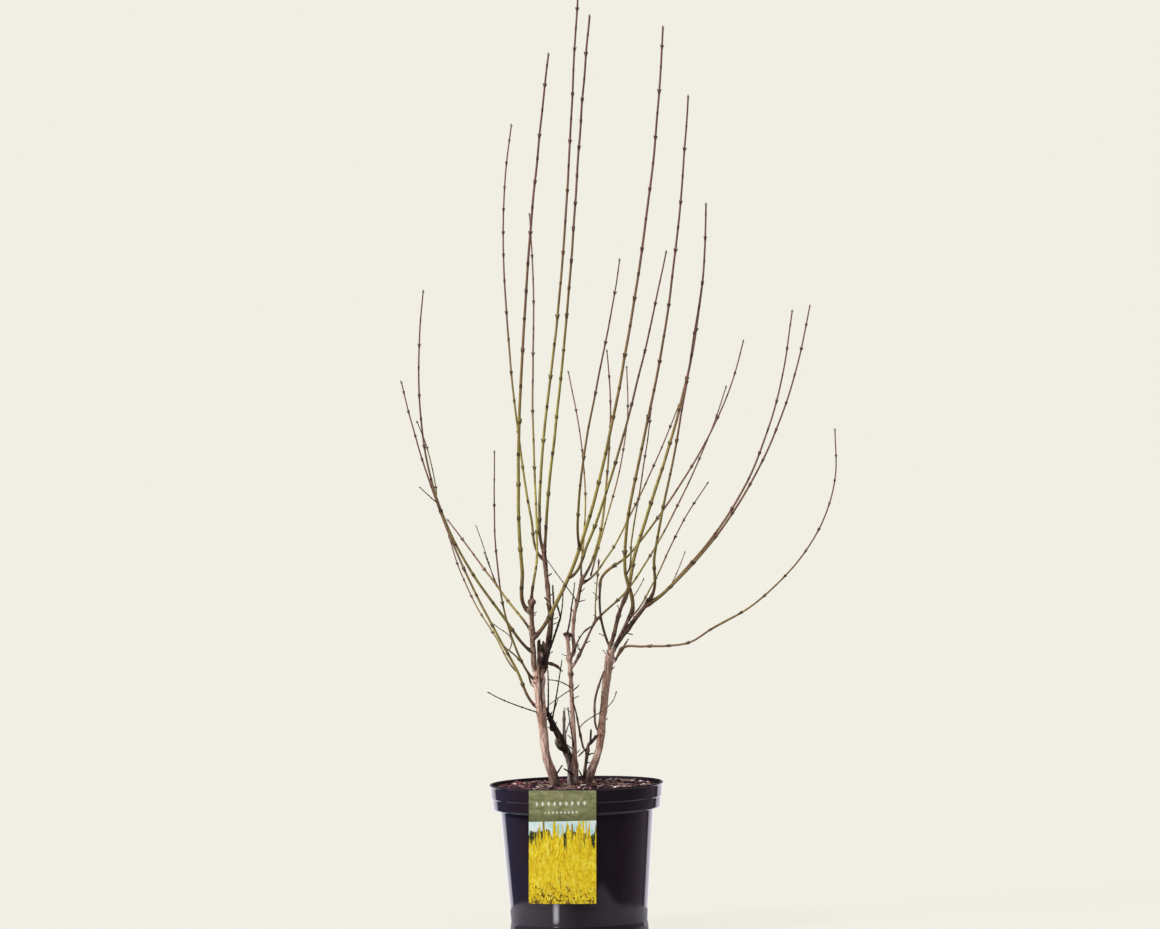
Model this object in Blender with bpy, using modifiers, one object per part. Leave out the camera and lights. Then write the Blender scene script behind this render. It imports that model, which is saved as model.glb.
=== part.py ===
"""A forsythia in winter: bare whips fanning up from three stems, in a black ten-litre
nursery pot of bark compost with a picture card on its front. Metres, +Z up, +Y away
from the viewer. The origin is the middle of the pot's flat underside."""
import math

import bpy
from mathutils import Matrix, Vector

GAP = 0.0003                 # between pieces that touch

# Pot, turned about Z: radii and heights
POT_HEIGHT = 0.240
LIP_RADIUS = 0.140
LIP_THICKNESS = 0.0022
COLLAR_TOP_RADIUS = 0.1384
COLLAR_WAIST_RADIUS = 0.1372
COLLAR_WAIST_DEPTH = 0.0225  # below the lip
BAND_TOP_RADIUS = 0.1356
BAND_FOOT_RADIUS = 0.1343
BAND_FOOT_DEPTH = 0.0395
BODY_TOP_RADIUS = 0.1228
BODY_TOP_DEPTH = 0.0425
BODY_FOOT_RADIUS = 0.1098
BODY_FOOT_HEIGHT = 0.030
PLINTH_RADIUS = 0.1112
PLINTH_HEIGHT = 0.014
UNDERSIDE_RADIUS = 0.1104
WALL = 0.0022
FLOOR = 0.0030
TURN_STEPS = 48

# Compost inside it
COMPOST_TOP = 0.2362
COMPOST_FALL = 0.0042        # how much lower it lies at the wall
CROWN_RADIUS = 0.062         # level middle, where the stems stand

# Picture card, upright against the lip
CARD_WIDTH = 0.106
CARD_HEIGHT = 0.178
CARD_THICKNESS = 0.0008
CARD_MIDDLE_X = -0.0236
CARD_TOP = 0.2385

# Limbs
SEGMENT = 0.064              # length of one straight piece of a limb
FEWEST_SEGMENTS = 4
OUTWARD_ARCH = 0.15          # bow in depth, as a share of the reach in depth
S_SCALE = 32.0 / 3.0         # makes a sway's offset its own size a quarter of the way
KICK_SCALE = 6.0 ** 6 / 5.0 ** 5   # and a kick's its own size a sixth of the way
STRAIGHT = (0.0, 0.0, 0.0)
LEVEL_CUT = 0.004            # plumb length above a stem's flat foot
FOOT_PASSES = 3              # a foot's place and its lean depend on each other
END = "end"

# Colours of the bark and the made pieces
OLD_BARK = (0.23, 0.15, 0.11)
DEAD_BARK = (0.07, 0.05, 0.045)
BOUGH_BARK = (0.20, 0.15, 0.10)
WHIP_BARK = (0.22, 0.19, 0.10)
POT_BLACK = (0.012, 0.011, 0.014)
COMPOST_BROWN = (0.050, 0.026, 0.020)
CARD_YELLOW = (0.72, 0.56, 0.06)


def clear_scene():
    for obj in list(bpy.data.objects):
        bpy.data.objects.remove(obj, do_unlink=True)


def new_collection(name):
    collection = bpy.data.collections.new(name)
    bpy.context.scene.collection.children.link(collection)
    return collection


def principled(name, colour, roughness):
    material = bpy.data.materials.new(name)
    material.use_nodes = True
    shader = material.node_tree.nodes["Principled BSDF"]
    shader.inputs["Base Color"].default_value = (*colour, 1.0)
    shader.inputs["Roughness"].default_value = roughness
    shader.inputs["Metallic"].default_value = 0.0
    return material


def turned(name, profile, collection, material):
    """A solid turned about Z from (radius, height) points, read down its outer side."""
    mesh = bpy.data.meshes.new(name)
    points = [(radius, 0.0, height) for radius, height in profile]
    mesh.from_pydata(points, [(i, i + 1) for i in range(len(points) - 1)], [])
    obj = bpy.data.objects.new(name, mesh)
    collection.objects.link(obj)
    screw = obj.modifiers.new("Turn", "SCREW")
    screw.axis = "Z"
    screw.steps = screw.render_steps = TURN_STEPS
    screw.use_merge_vertices = True
    screw.merge_threshold = 0.00001
    mesh.materials.append(material)
    return obj


def pot_inner_radius(height):
    """Radius of the pot's inner wall, one wall inside the straight taper of its body."""
    top = POT_HEIGHT - BODY_TOP_DEPTH
    share = (height - BODY_FOOT_HEIGHT) / (top - BODY_FOOT_HEIGHT)
    return BODY_FOOT_RADIUS + (BODY_TOP_RADIUS - BODY_FOOT_RADIUS) * share - WALL


def make_pot(collection):
    lip = POT_HEIGHT
    body_top = lip - BODY_TOP_DEPTH
    profile = [
        (0.0, FLOOR),
        (pot_inner_radius(FLOOR), FLOOR),
        (pot_inner_radius(body_top), body_top),
        (BAND_FOOT_RADIUS - WALL, lip - BAND_FOOT_DEPTH + WALL),
        (BAND_TOP_RADIUS - WALL, lip - COLLAR_WAIST_DEPTH - WALL),
        (COLLAR_WAIST_RADIUS - WALL, lip - COLLAR_WAIST_DEPTH + WALL),
        (COLLAR_TOP_RADIUS - WALL, lip),
        (LIP_RADIUS - LIP_THICKNESS / 2, lip),
        (LIP_RADIUS, lip - LIP_THICKNESS / 2),
        (LIP_RADIUS - LIP_THICKNESS / 2, lip - LIP_THICKNESS),
        (COLLAR_TOP_RADIUS, lip - LIP_THICKNESS),
        (COLLAR_WAIST_RADIUS, lip - COLLAR_WAIST_DEPTH),
        (BAND_TOP_RADIUS, lip - COLLAR_WAIST_DEPTH - WALL / 2),
        (BAND_FOOT_RADIUS, lip - BAND_FOOT_DEPTH),
        (BODY_TOP_RADIUS, lip - BODY_TOP_DEPTH),
        (BODY_FOOT_RADIUS, BODY_FOOT_HEIGHT),
        (PLINTH_RADIUS, PLINTH_HEIGHT),
        (UNDERSIDE_RADIUS, 0.0),
        (0.0, 0.0),
    ]
    material = principled("black_plastic", POT_BLACK, 0.28)
    return turned("pot", profile, collection, material)


def make_compost(collection):
    """The compost fills the pot to just under the lip, and stands clear of its wall."""
    lip = POT_HEIGHT
    body_top = lip - BODY_TOP_DEPTH
    edge = COMPOST_TOP - COMPOST_FALL
    wall_gap = 2 * GAP
    band_foot = BAND_FOOT_RADIUS - WALL - wall_gap
    collar_waist = COLLAR_WAIST_RADIUS - WALL - wall_gap
    profile = [
        (0.0, COMPOST_TOP),
        (CROWN_RADIUS, COMPOST_TOP),
        (0.7 * collar_waist, COMPOST_TOP - 0.35 * COMPOST_FALL),
        (collar_waist, edge),
        (collar_waist - 0.0006, lip - COLLAR_WAIST_DEPTH + WALL + wall_gap),
        (BAND_TOP_RADIUS - WALL - wall_gap, lip - COLLAR_WAIST_DEPTH - WALL + wall_gap),
        (band_foot, lip - BAND_FOOT_DEPTH + WALL + wall_gap),
        (pot_inner_radius(body_top) - wall_gap, body_top + wall_gap),
        (pot_inner_radius(FLOOR) - wall_gap, FLOOR + GAP),
        (0.0, FLOOR + GAP),
    ]
    material = principled("bark_compost", COMPOST_BROWN, 0.9)
    return turned("compost", profile, collection, material)


def make_card(collection):
    """A thin upright card whose back just meets the front of the lip."""
    bpy.ops.mesh.primitive_cube_add(size=1.0)
    card = bpy.context.active_object
    card.name = card.data.name = "picture_card"
    size = (CARD_WIDTH, CARD_THICKNESS, CARD_HEIGHT, 1.0)
    card.data.transform(Matrix.Diagonal(size))
    card.location = (
        CARD_MIDDLE_X,
        -(LIP_RADIUS + GAP + CARD_THICKNESS / 2),
        CARD_TOP - CARD_HEIGHT / 2,
    )
    for owner in list(card.users_collection):
        owner.objects.unlink(card)
    collection.objects.link(card)
    card.data.materials.append(principled("printed_card", CARD_YELLOW, 0.35))
    return card


class Limb:
    """One tapering limb, as an axis of points with a radius at each."""

    def __init__(self, points, radii):
        self.points = points
        self.radii = radii

    def at_height(self, height):
        """Point, direction and radius where the axis passes a height."""
        pairs = zip(self.points, self.points[1:], self.radii, self.radii[1:])
        for low, high, low_radius, high_radius in pairs:
            if low.z <= height <= high.z:
                share = (height - low.z) / (high.z - low.z)
                point = low.lerp(high, share)
                radius = low_radius + (high_radius - low_radius) * share
                return point, (high - low).normalized(), radius
        raise ValueError(f"height {height} is off the parent limb")

    def at_end(self):
        direction = (self.points[-1] - self.points[-2]).normalized()
        return self.points[-1], direction, self.radii[-1]


def arch(foot, tip, bend, share):
    """A point on a limb's axis, at a share of its chord.

    bend is how far the axis leaves the chord in the plane that faces the viewer, to the
    right if positive: its bow at mid-length, its S-shaped sway, and its kick near the
    foot. In depth the limb arches outward by OUTWARD_ARCH of its reach.
    """
    bow, sway, kick = bend
    chord = tip - foot
    sideways = Vector((chord.z, 0.0, -chord.x)).normalized()
    rest = 1.0 - share
    bulge = 4.0 * share * rest
    offset = bow * bulge + sway * S_SCALE * share * rest * (rest - share)
    offset += kick * KICK_SCALE * share * rest ** 5
    depth = Vector((0.0, OUTWARD_ARCH * chord.y, 0.0))
    return foot + chord * share + sideways * offset + depth * bulge


def foot_on_side(parent, height, heading, direction, radius):
    """Foot of a limb that leaves its parent's side, one GAP off the bark."""
    point, axis, parent_radius = parent.at_height(height)
    angle = math.radians(heading)
    outward = Vector((math.cos(angle), math.sin(angle), 0.0))
    outward = (outward - axis * outward.dot(axis)).normalized()
    lean = direction.normalized().dot(axis)
    return point + outward * (parent_radius + GAP + radius * abs(lean))


def foot_on_end(parent, aside, direction, radius):
    """Foot of a limb that carries on from its parent's end, shifted aside on it."""
    point, axis, _ = parent.at_end()
    shift = Vector((aside[0], aside[1], 0.0))
    shift -= axis * shift.dot(axis)
    lean = direction.normalized().cross(axis).length
    return point + shift + axis * (GAP + radius * lean)


def taper(foot, tip, share, power=1.0):
    return foot + (tip - foot) * share ** power


def stem_radius(foot, waist, fork, share):
    """A stem flares at its foot, narrows to its waist and thickens under its fork."""
    return waist + (foot - waist) * (1.0 - share) ** 7 + (fork - waist) * share ** 4


limbs = {}


def segment_count(foot, tip):
    return max(FEWEST_SEGMENTS, round((tip - foot).length / SEGMENT))


def axis_of(foot, tip, bend, radius_at):
    count = segment_count(foot, tip)
    shares = [i / count for i in range(count + 1)]
    points = [arch(foot, tip, bend, share) for share in shares]
    return Limb(points, [radius_at(share) for share in shares])


def add_stem(name, foot, tip, bend, radii):
    """A stem that stands on the compost with a flat cut. radii: foot, waist, fork."""
    ground = Vector((foot[0], foot[1], COMPOST_TOP + GAP))
    start = ground + Vector((0.0, 0.0, LEVEL_CUT))
    limb = axis_of(start, Vector(tip), bend, lambda share: stem_radius(*radii, share))
    limb.points.insert(0, ground)
    limb.radii.insert(0, radii[0])
    limbs[name] = limb


def add_limb(name, parent, at, tip, bend=STRAIGHT, radii=(0.002, 0.001), power=1.0):
    """A bough or whip. at is (height, heading in degrees from +X towards +Y) for a side
    shoot, or (END, x, y) for one that carries on from its parent's end."""
    tip = Vector(tip)
    holder = limbs[parent]
    foot = holder.at_end()[0] if at[0] == END else holder.at_height(at[0])[0]
    for _ in range(FOOT_PASSES):
        first = 1.0 / segment_count(foot, tip)
        direction = arch(foot, tip, bend, first) - foot
        if at[0] == END:
            foot = foot_on_end(holder, at[1:], direction, radii[0])
        else:
            foot = foot_on_side(holder, at[0], at[1], direction, radii[0])
    limbs[name] = axis_of(foot, tip, bend, lambda share: taper(*radii, share, power))


def grow_stems():
    add_stem("left_stem", (-0.033, -0.035), (-0.057, -0.040, 0.424),
             (-0.0055, -0.0005, -0.0035), (0.0085, 0.0070, 0.0112))
    add_stem("middle_stem", (-0.002, -0.020), (-0.010, 0.030, 0.477),
             (0.0015, -0.001, 0.002), (0.0062, 0.0038, 0.0032))
    add_stem("right_stem", (0.019, -0.010), (0.0594, 0.0, 0.448),
             (0.0045, 0.0015, 0.0035), (0.0070, 0.0060, 0.0078))
    add_stem("old_stem", (-0.009, 0.014), (-0.048, -0.027, 0.365),
             (0.0080, 0.0030, 0.0), (0.0056, 0.0064, 0.0022))
    add_stem("sprout", (0.011, -0.036), (0.0199, -0.045, 0.300),
             STRAIGHT, (0.0032, 0.0027, 0.0027))


def grow_boughs():
    add_limb("left_bough", "left_stem", (END, -0.0050, -0.002), (-0.065, -0.055, 0.539),
             (-0.0015, 0.0, 0.0), (0.0048, 0.0038))
    add_limb("inner_bough", "left_stem", (END, 0.0085, 0.004), (-0.034, -0.012, 0.518),
             (0.003, 0.0005, -0.001), (0.0048, 0.0045))
    add_limb("front_stub", "left_stem", (END, 0.0025, -0.010), (-0.0546, -0.052, 0.472),
             STRAIGHT, (0.0042, 0.0028))
    add_limb("inner_stub", "left_stem", (END, 0.0108, -0.0065), (-0.0465, -0.049, 0.468),
             STRAIGHT, (0.0036, 0.0030))
    add_limb("inner_snag", "inner_bough", (END, 0.0040, 0.0), (-0.031, -0.010, 0.558),
             STRAIGHT, (0.0019, 0.0014))
    add_limb("tall_bough", "inner_bough", (END, -0.0028, 0.001), (-0.0445, 0.020, 0.617),
             STRAIGHT, (0.0040, 0.0036))
    add_limb("middle_bough", "middle_stem", (0.444, 20), (0.017, 0.045, 0.568),
             (-0.006, -0.002, 0.003), (0.0032, 0.0028))
    add_limb("fork_inner", "middle_stem", (0.437, -70), (0.031, 0.000, 0.491),
             (-0.0055, 0.0015, 0.0), (0.0016, 0.0012))
    add_limb("fork_outer", "middle_stem", (0.426, 0), (0.037, 0.060, 0.498),
             (0.001, 0.0005, 0.0), (0.0024, 0.0020))
    add_limb("riser", "fork_outer", (END, -0.0015, 0.0016), (0.044, 0.090, 0.594),
             (-0.001, -0.0005, 0.0), (0.0013, 0.0010))
    add_limb("ear_limb", "right_stem", (0.325, -150), (0.0490, -0.014, 0.420),
             (-0.009, -0.0015, 0.002), (0.0021, 0.0018))
    add_limb("fork_bough_2", "right_stem", (END, -0.0022, 0.0030), (0.085, 0.030, 0.533),
             (-0.0015, 0.001, 0.0), (0.0034, 0.0032))
    add_limb("fork_bough_1", "fork_bough_2", (0.461, 160), (0.045, 0.030, 0.555),
             (-0.006, -0.0005, 0.0005), (0.0022, 0.0020))
    add_limb("fork_bough_4", "right_stem", (END, 0.0036, -0.0022), (0.1275, -0.010, 0.535),
             (-0.0015, -0.0005, 0.0), (0.0039, 0.0036))
    add_limb("fork_bough_3", "fork_bough_4", (0.461, -110), (0.095, -0.030, 0.513),
             STRAIGHT, (0.0027, 0.0028))
    add_limb("old_stub", "old_stem", (0.304, -70), (-0.017, -0.032, 0.358),
             (-0.001, 0.0, 0.0), (0.0031, 0.0020))
    add_limb("sprout_left", "sprout", (0.294, 160), (-0.004, -0.036, 0.376),
             (0.0, -0.001, 0.0), (0.0019, 0.0014))
    add_limb("sprout_right", "sprout", (END, 0.0006, 0.0), (0.0345, -0.028, 0.317),
             (0.001, 0.0, 0.0), (0.0027, 0.0025))


def grow_left_whips():
    add_limb("whip_l1", "left_bough", (0.521, 185), (-0.018, -0.130, 1.397),
             (-0.021, -0.001, -0.0060), (0.0032, 0.0015), 0.8)
    add_limb("whip_l2", "left_bough", (END, 0.0005, 0.001), (-0.057, 0.160, 1.163),
             (0.0, -0.005, 0.014), (0.0021, 0.0011))
    add_limb("whip_l3", "tall_bough", (0.603, 190), (-0.082, 0.060, 1.302),
             (-0.0265, 0.005, -0.0075), (0.0021, 0.0011))
    add_limb("whip_l4", "left_stem", (0.369, 170), (-0.2665, -0.020, 0.888),
             (-0.023, 0.0, 0.0045), (0.0024, 0.0010))
    add_limb("whip_l5", "left_bough", (0.457, 206), (-0.224, -0.130, 1.028),
             (-0.074, -0.005, 0.0085), (0.0024, 0.0010))
    add_limb("whip_l6", "whip_l5", (0.683, 230), (-0.236, -0.170, 0.822),
             (0.0045, -0.001, 0.0), (0.0010, 0.0008))
    add_limb("whip_l7", "whip_l4", (0.424, 120), (-0.199, 0.100, 0.637),
             (-0.012, 0.0005, 0.004), (0.0013, 0.0010))
    add_limb("whip_l8", "left_bough", (0.490, 140), (-0.201, 0.130, 0.664),
             (-0.0015, 0.0, -0.0005), (0.0021, 0.0010))
    add_limb("whip_l9", "left_stem", (0.412, 215), (-0.1155, -0.200, 0.7725),
             (-0.024, -0.0025, -0.0035), (0.0018, 0.0009))
    add_limb("whip_l10", "left_stem", (0.401, 170), (-0.1085, -0.050, 0.461),
             (0.007, 0.0, 0.0), (0.0017, 0.0013))


def grow_middle_whips():
    add_limb("whip_t1", "tall_bough", (END, -0.0018, 0.0022), (0.030, 0.030, 1.507),
             (0.0065, 0.0025, -0.0165), (0.0024, 0.0015), 0.9)
    add_limb("whip_t2", "tall_bough", (END, 0.0018, -0.0022), (0.048, -0.090, 1.460),
             (0.005, 0.003, -0.006), (0.0025, 0.0016), 0.9)
    add_limb("whip_m1", "left_bough", (0.480, -10), (0.1645, -0.050, 1.444),
             (0.042, 0.0005, 0.017), (0.0032, 0.0015), 0.8)
    add_limb("whip_m2", "whip_m1", (0.622, -120), (0.085, -0.220, 1.066),
             (-0.009, -0.0045, -0.001), (0.0022, 0.0010))
    add_limb("whip_m3", "whip_m1", (0.574, -30), (0.158, -0.200, 1.078),
             (0.0145, 0.001, 0.004), (0.0024, 0.0011))
    add_limb("whip_m4", "middle_bough", (0.560, 10), (0.183, 0.220, 0.845),
             (0.0125, 0.0005, 0.0065), (0.0017, 0.0010))
    add_limb("whip_m5", "middle_bough", (END, 0.0022, -0.0016), (0.065, 0.120, 0.935),
             (0.0185, -0.0015, 0.009), (0.0022, 0.0010))
    add_limb("whip_m6", "middle_bough", (END, -0.0018, 0.0022), (0.001, 0.200, 0.9035),
             (0.016, 0.0015, -0.003), (0.0016, 0.0009))
    add_limb("whip_m7", "whip_m4", (0.573, 100), (0.098, 0.230, 0.910),
             (0.0175, -0.0025, -0.0015), (0.0014, 0.0009))


def grow_right_whips():
    add_limb("whip_r1", "fork_bough_3", (END, -0.0010, 0.0), (0.1995, -0.130, 1.326),
             (0.007, -0.0015, -0.025), (0.0028, 0.0014), 0.9)
    add_limb("whip_r2", "whip_r1", (0.575, -60), (0.130, -0.190, 0.836),
             (0.0005, -0.001, 0.0005), (0.0014, 0.0009))
    add_limb("whip_r3", "fork_bough_2", (END, 0.0, 0.0), (0.2325, 0.130, 1.172),
             (0.027, -0.003, -0.007), (0.0030, 0.0014))
    add_limb("whip_r4", "fork_bough_4", (END, -0.0016, 0.001), (0.215, -0.140, 1.029),
             (0.001, 0.0005, -0.0075), (0.0024, 0.0011))
    add_limb("whip_r5", "fork_bough_1", (END, 0.0, 0.0), (0.290, 0.160, 0.947),
             (0.030, -0.0035, 0.0055), (0.0020, 0.0010))
    add_limb("whip_r6", "fork_outer", (END, 0.0018, -0.0010), (0.263, 0.240, 0.874),
             (0.024, 0.0, 0.008), (0.0018, 0.0009))
    add_limb("whip_r7", "fork_bough_3", (0.508, -60), (0.216, -0.160, 0.717),
             (-0.0005, 0.0035, 0.0005), (0.0014, 0.0009))
    add_limb("whip_r8", "fork_bough_4", (0.532, 40), (0.366, 0.070, 0.9915),
             (0.055, 0.0025, -0.001), (0.0022, 0.0011))
    add_limb("whip_r9", "fork_bough_4", (0.526, -50), (0.388, -0.060, 0.994),
             (0.050, 0.001, 0.002), (0.0022, 0.0011))
    add_limb("low_whip_foot", "right_stem", (0.436, -20), (0.0755, -0.008, 0.4500),
             STRAIGHT, (0.0020, 0.0019))
    add_limb("low_whip", "low_whip_foot", (END, 0.0, 0.0), (0.218, -0.060, 0.4825),
             (0.0095, -0.0048, 0.0), (0.0019, 0.0016))
    add_limb("low_whip_rise", "low_whip", (END, 0.0, 0.0), (0.421, -0.100, 0.796),
             (0.061, -0.0055, 0.005), (0.0016, 0.0010))


def make_limb(name, limb, collection, material, resolution):
    """A tube along the limb's axis, with 4 + 2 * resolution sides and closed ends."""
    curve = bpy.data.curves.new(name, "CURVE")
    curve.dimensions = "3D"
    curve.bevel_depth = 1.0
    curve.bevel_resolution = resolution
    curve.use_fill_caps = True
    curve.use_radius = True
    spline = curve.splines.new("POLY")
    spline.points.add(len(limb.points) - 1)
    for knot, point, radius in zip(spline.points, limb.points, limb.radii):
        knot.co = (*point, 1.0)
        knot.radius = radius
    curve.materials.append(material)
    obj = bpy.data.objects.new(name, curve)
    collection.objects.link(obj)
    return obj


def bark_of(name):
    if name in ("old_stem", "old_stub", "front_stub", "inner_stub", "inner_snag"):
        return DEAD_BARK
    if name.endswith("_stem"):
        return OLD_BARK
    return WHIP_BARK if "whip" in name or name == "riser" else BOUGH_BARK


def main():
    clear_scene()
    collection = new_collection("potted_forsythia")
    make_pot(collection)
    make_compost(collection)
    make_card(collection)
    grow_stems()
    grow_boughs()
    grow_left_whips()
    grow_middle_whips()
    grow_right_whips()
    for name, limb in limbs.items():
        material = principled(name + "_bark", bark_of(name), 0.75)
        resolution = 2 if name.endswith("_stem") else 1
        make_limb(name, limb, collection, material, resolution)


main()
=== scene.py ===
import math
import random
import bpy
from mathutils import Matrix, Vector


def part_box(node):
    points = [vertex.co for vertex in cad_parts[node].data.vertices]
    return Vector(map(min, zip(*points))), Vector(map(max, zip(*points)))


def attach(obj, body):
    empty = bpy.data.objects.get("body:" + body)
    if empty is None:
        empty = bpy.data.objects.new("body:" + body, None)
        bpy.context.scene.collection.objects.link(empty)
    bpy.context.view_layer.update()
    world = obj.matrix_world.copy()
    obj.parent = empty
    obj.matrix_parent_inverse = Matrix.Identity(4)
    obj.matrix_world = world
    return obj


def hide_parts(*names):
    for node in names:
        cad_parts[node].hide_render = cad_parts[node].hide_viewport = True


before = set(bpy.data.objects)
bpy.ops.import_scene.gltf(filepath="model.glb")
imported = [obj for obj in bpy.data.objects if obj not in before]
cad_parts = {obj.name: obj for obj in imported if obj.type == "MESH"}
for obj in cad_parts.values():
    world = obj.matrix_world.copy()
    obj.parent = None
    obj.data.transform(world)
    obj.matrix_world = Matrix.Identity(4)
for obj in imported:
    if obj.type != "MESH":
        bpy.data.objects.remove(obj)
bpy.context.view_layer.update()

from copy import copy

import bmesh
import bpy
from mathutils import Matrix, Vector, noise
from mathutils.kdtree import KDTree

# A bare winter forsythia in a black nursery pot. Metres, +Z up, +Y away from the viewer.
# The limbs' axes and girths are read from the CAD tubes, and get bark, nodes, buds and
# twigs here. The pot, its compost and its picture card replace their plain solids.

MM = 0.001
UP = Vector((0.0, 0.0, 1.0))

# Wood: which limbs grow together into one piece of old wood
LEFT_WOOD = ("left_stem", "left_bough", "inner_bough", "tall_bough",
             "front_stub", "inner_stub", "inner_snag")
MIDDLE_WOOD = ("middle_stem", "middle_bough", "fork_inner", "fork_outer")
RIGHT_WOOD = ("right_stem", "ear_limb", "fork_bough_1", "fork_bough_2",
              "fork_bough_3", "fork_bough_4")
DEAD_WOOD = ("old_stem", "old_stub")
SPROUT_WOOD = ("sprout", "sprout_left", "sprout_right")
STANDING = ("left_stem", "middle_stem", "right_stem", "old_stem", "sprout")
MADE_PIECES = ("pot", "compost", "picture_card")
BROKEN = ("front_stub", "inner_stub", "inner_snag", "old_stub", "sprout_right")

BARK_TONES = {
    # limb: how pale and smooth its bark is, and how dark and weathered
    "left_stem": (1.0, 0.0), "middle_stem": (0.85, 0.05), "right_stem": (1.0, 0.0),
    "left_bough": (0.35, 0.15), "inner_bough": (0.10, 0.70), "tall_bough": (0.30, 0.30),
    "middle_bough": (0.35, 0.10), "fork_inner": (0.20, 0.30), "fork_outer": (0.40, 0.15),
    "fork_bough_1": (0.10, 0.60), "fork_bough_2": (0.20, 0.50),
    "fork_bough_3": (0.20, 0.45), "fork_bough_4": (0.25, 0.45), "ear_limb": (0.40, 0.35),
    "sprout": (0.20, 0.55), "sprout_left": (0.15, 0.60), "sprout_right": (0.10, 0.80),
}
PLAIN_TONE = (0.0, 1.0)      # dead limbs
KNUCKLES = {
    # limb: (height, share by which it swells, reach in mm) where shoots have come and gone
    "left_stem": [(0.352, 0.10, 9), (0.408, 0.10, 8)],
    "left_bough": [(0.487, 0.22, 6), (0.533, 0.55, 6)],
    "inner_bough": [(0.446, 0.18, 6), (0.476, 0.12, 5), (0.514, 0.20, 6)],
    "tall_bough": [(0.556, 0.18, 5), (0.613, 0.35, 5)],
    "middle_stem": [(0.268, 0.16, 6), (0.395, 0.25, 3), (0.414, 0.45, 4), (0.438, 0.55, 5),
                    (0.474, 0.55, 4)],
    "middle_bough": [(0.500, 0.25, 4), (0.532, 0.20, 5), (0.564, 0.40, 5)],
    "fork_inner": [(0.452, 0.45, 3), (0.484, 0.50, 3)],
    "fork_outer": [(0.442, 0.35, 4), (0.492, 0.35, 4)],
    "right_stem": [(0.318, 0.12, 8), (0.352, 0.10, 5), (0.440, 0.12, 7),
                   (0.466, -0.26, 14)],
    "ear_limb": [(0.356, 0.30, 3), (0.394, 0.30, 3)],
    "fork_bough_2": [(0.476, 0.20, 5), (0.504, 0.18, 4), (0.528, 0.30, 5)],
    "fork_bough_3": [(0.506, 0.35, 5)],
    "fork_bough_4": [(0.486, 0.22, 6), (0.528, 0.40, 6)],
    "sprout": [(0.293, 0.45, 5), (0.262, 0.20, 4)],
    "sprout_left": [(0.318, 0.40, 3), (0.344, 0.30, 3)],
    "old_stub": [(0.316, 0.25, 4), (0.344, 0.30, 4)],
    "front_stub": [(0.438, 0.20, 6)],
    "riser": [(0.590, 0.80, 3)],
    "low_whip_foot": [(0.448, 0.70, 4)],
    "low_whip": [(0.4512, 0.60, 4)],
    "whip_l1": [(0.822, 0.30, 4)],
    "whip_l2": [(0.555, 0.30, 4)],
}
BURLS = [
    # limb, height, heading in degrees from +X towards +Y, girth and reach in mm, darkness
    ("old_stem", 0.304, 185, 8.0, 13.0, 1.0),
    ("old_stem", 0.330, 170, 5.4, 7.0, 1.0),
    ("old_stem", 0.288, 20, 3.8, 5.0, 1.0),
    ("front_stub", 0.4450, -20, 5.4, 9.5, 1.0),
    ("front_stub", 0.4600, 10, 3.8, 6.0, 1.0),
    ("front_stub", 0.4300, -60, 3.4, 5.0, 0.7),
    ("inner_stub", 0.4440, 200, 5.0, 9.5, 1.0),
    ("inner_stub", 0.4600, 190, 3.6, 6.0, 1.0),
    ("inner_stub", 0.4300, -30, 3.4, 5.0, 0.8),
    ("left_bough", 0.532, 20, 3.8, 4.6, 0.6),
    ("left_bough", 0.533, 190, 3.0, 3.6, 0.6),
    ("middle_stem", 0.4760, 0, 4.4, 4.6, 0.80),
    ("middle_stem", 0.4785, 180, 3.4, 3.6, 0.85),
    ("middle_stem", 0.4690, 0, 3.4, 4.6, 0.45),
    ("middle_stem", 0.470, 10, 2.2, 3.0, 0.3),
    ("middle_stem", 0.412, 5, 2.8, 3.2, 0.9),
    ("middle_stem", 0.430, 0, 2.6, 3.6, 0.0),
    ("middle_bough", 0.5290, 180, 2.6, 3.4, 0.4),
    ("right_stem", 0.440, 170, 3.4, 5.0, 0.3),
    ("right_stem", 0.445, 0, 3.0, 4.0, 0.4),
    ("fork_bough_4", 0.529, 110, 3.0, 4.0, 0.5),
    ("fork_bough_2", 0.5280, 20, 2.6, 3.6, 0.5),
]

WELD = 0.01 * MM
STATION = 2 * MM             # between rings along a limb
BURIED = 12 * MM             # how far a stem goes on down into the compost
WHIP_SIDES = 10
TWIG_SIDES = 7

# Nodes and buds of a whip
NODE_GAP_LOW = 62 * MM
NODE_GAP_HIGH = 33 * MM
LAST_INTERNODE = 16 * MM
BUD_LEAN = math.radians(30)

# Pot, read from its CAD solid where it can be
_, POT_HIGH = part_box("pot")
LIP = POT_HIGH.z
LIP_RADIUS = POT_HIGH.x
_, COMPOST_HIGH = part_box("compost")
COMPOST_RADIUS = COMPOST_HIGH.x
CARD_LOW, CARD_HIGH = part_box("picture_card")
CARD_TILT = math.radians(1.25)


def hue(red, green, blue):
    """A display colour, 0 to 255, as the linear colour a shader takes."""
    shares = (value / 255 for value in (red, green, blue))
    return (*(s / 12.92 if s < 0.04045 else ((s + 0.055) / 1.055) ** 2.4 for s in shares), 1.0)


def clamp(value):
    return min(1.0, max(0.0, value))


def scaled(point, size):
    return Vector([a * b for a, b in zip(point, size)])


def facing(turn):
    """A level direction, turned from +X towards +Y."""
    return Vector((math.cos(turn), math.sin(turn), 0.0))


def hump(offset, reach):
    """1 in the middle of a smooth hump, a little over a third at its reach, and soon 0."""
    return math.exp(-(offset / reach) ** 2)


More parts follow.
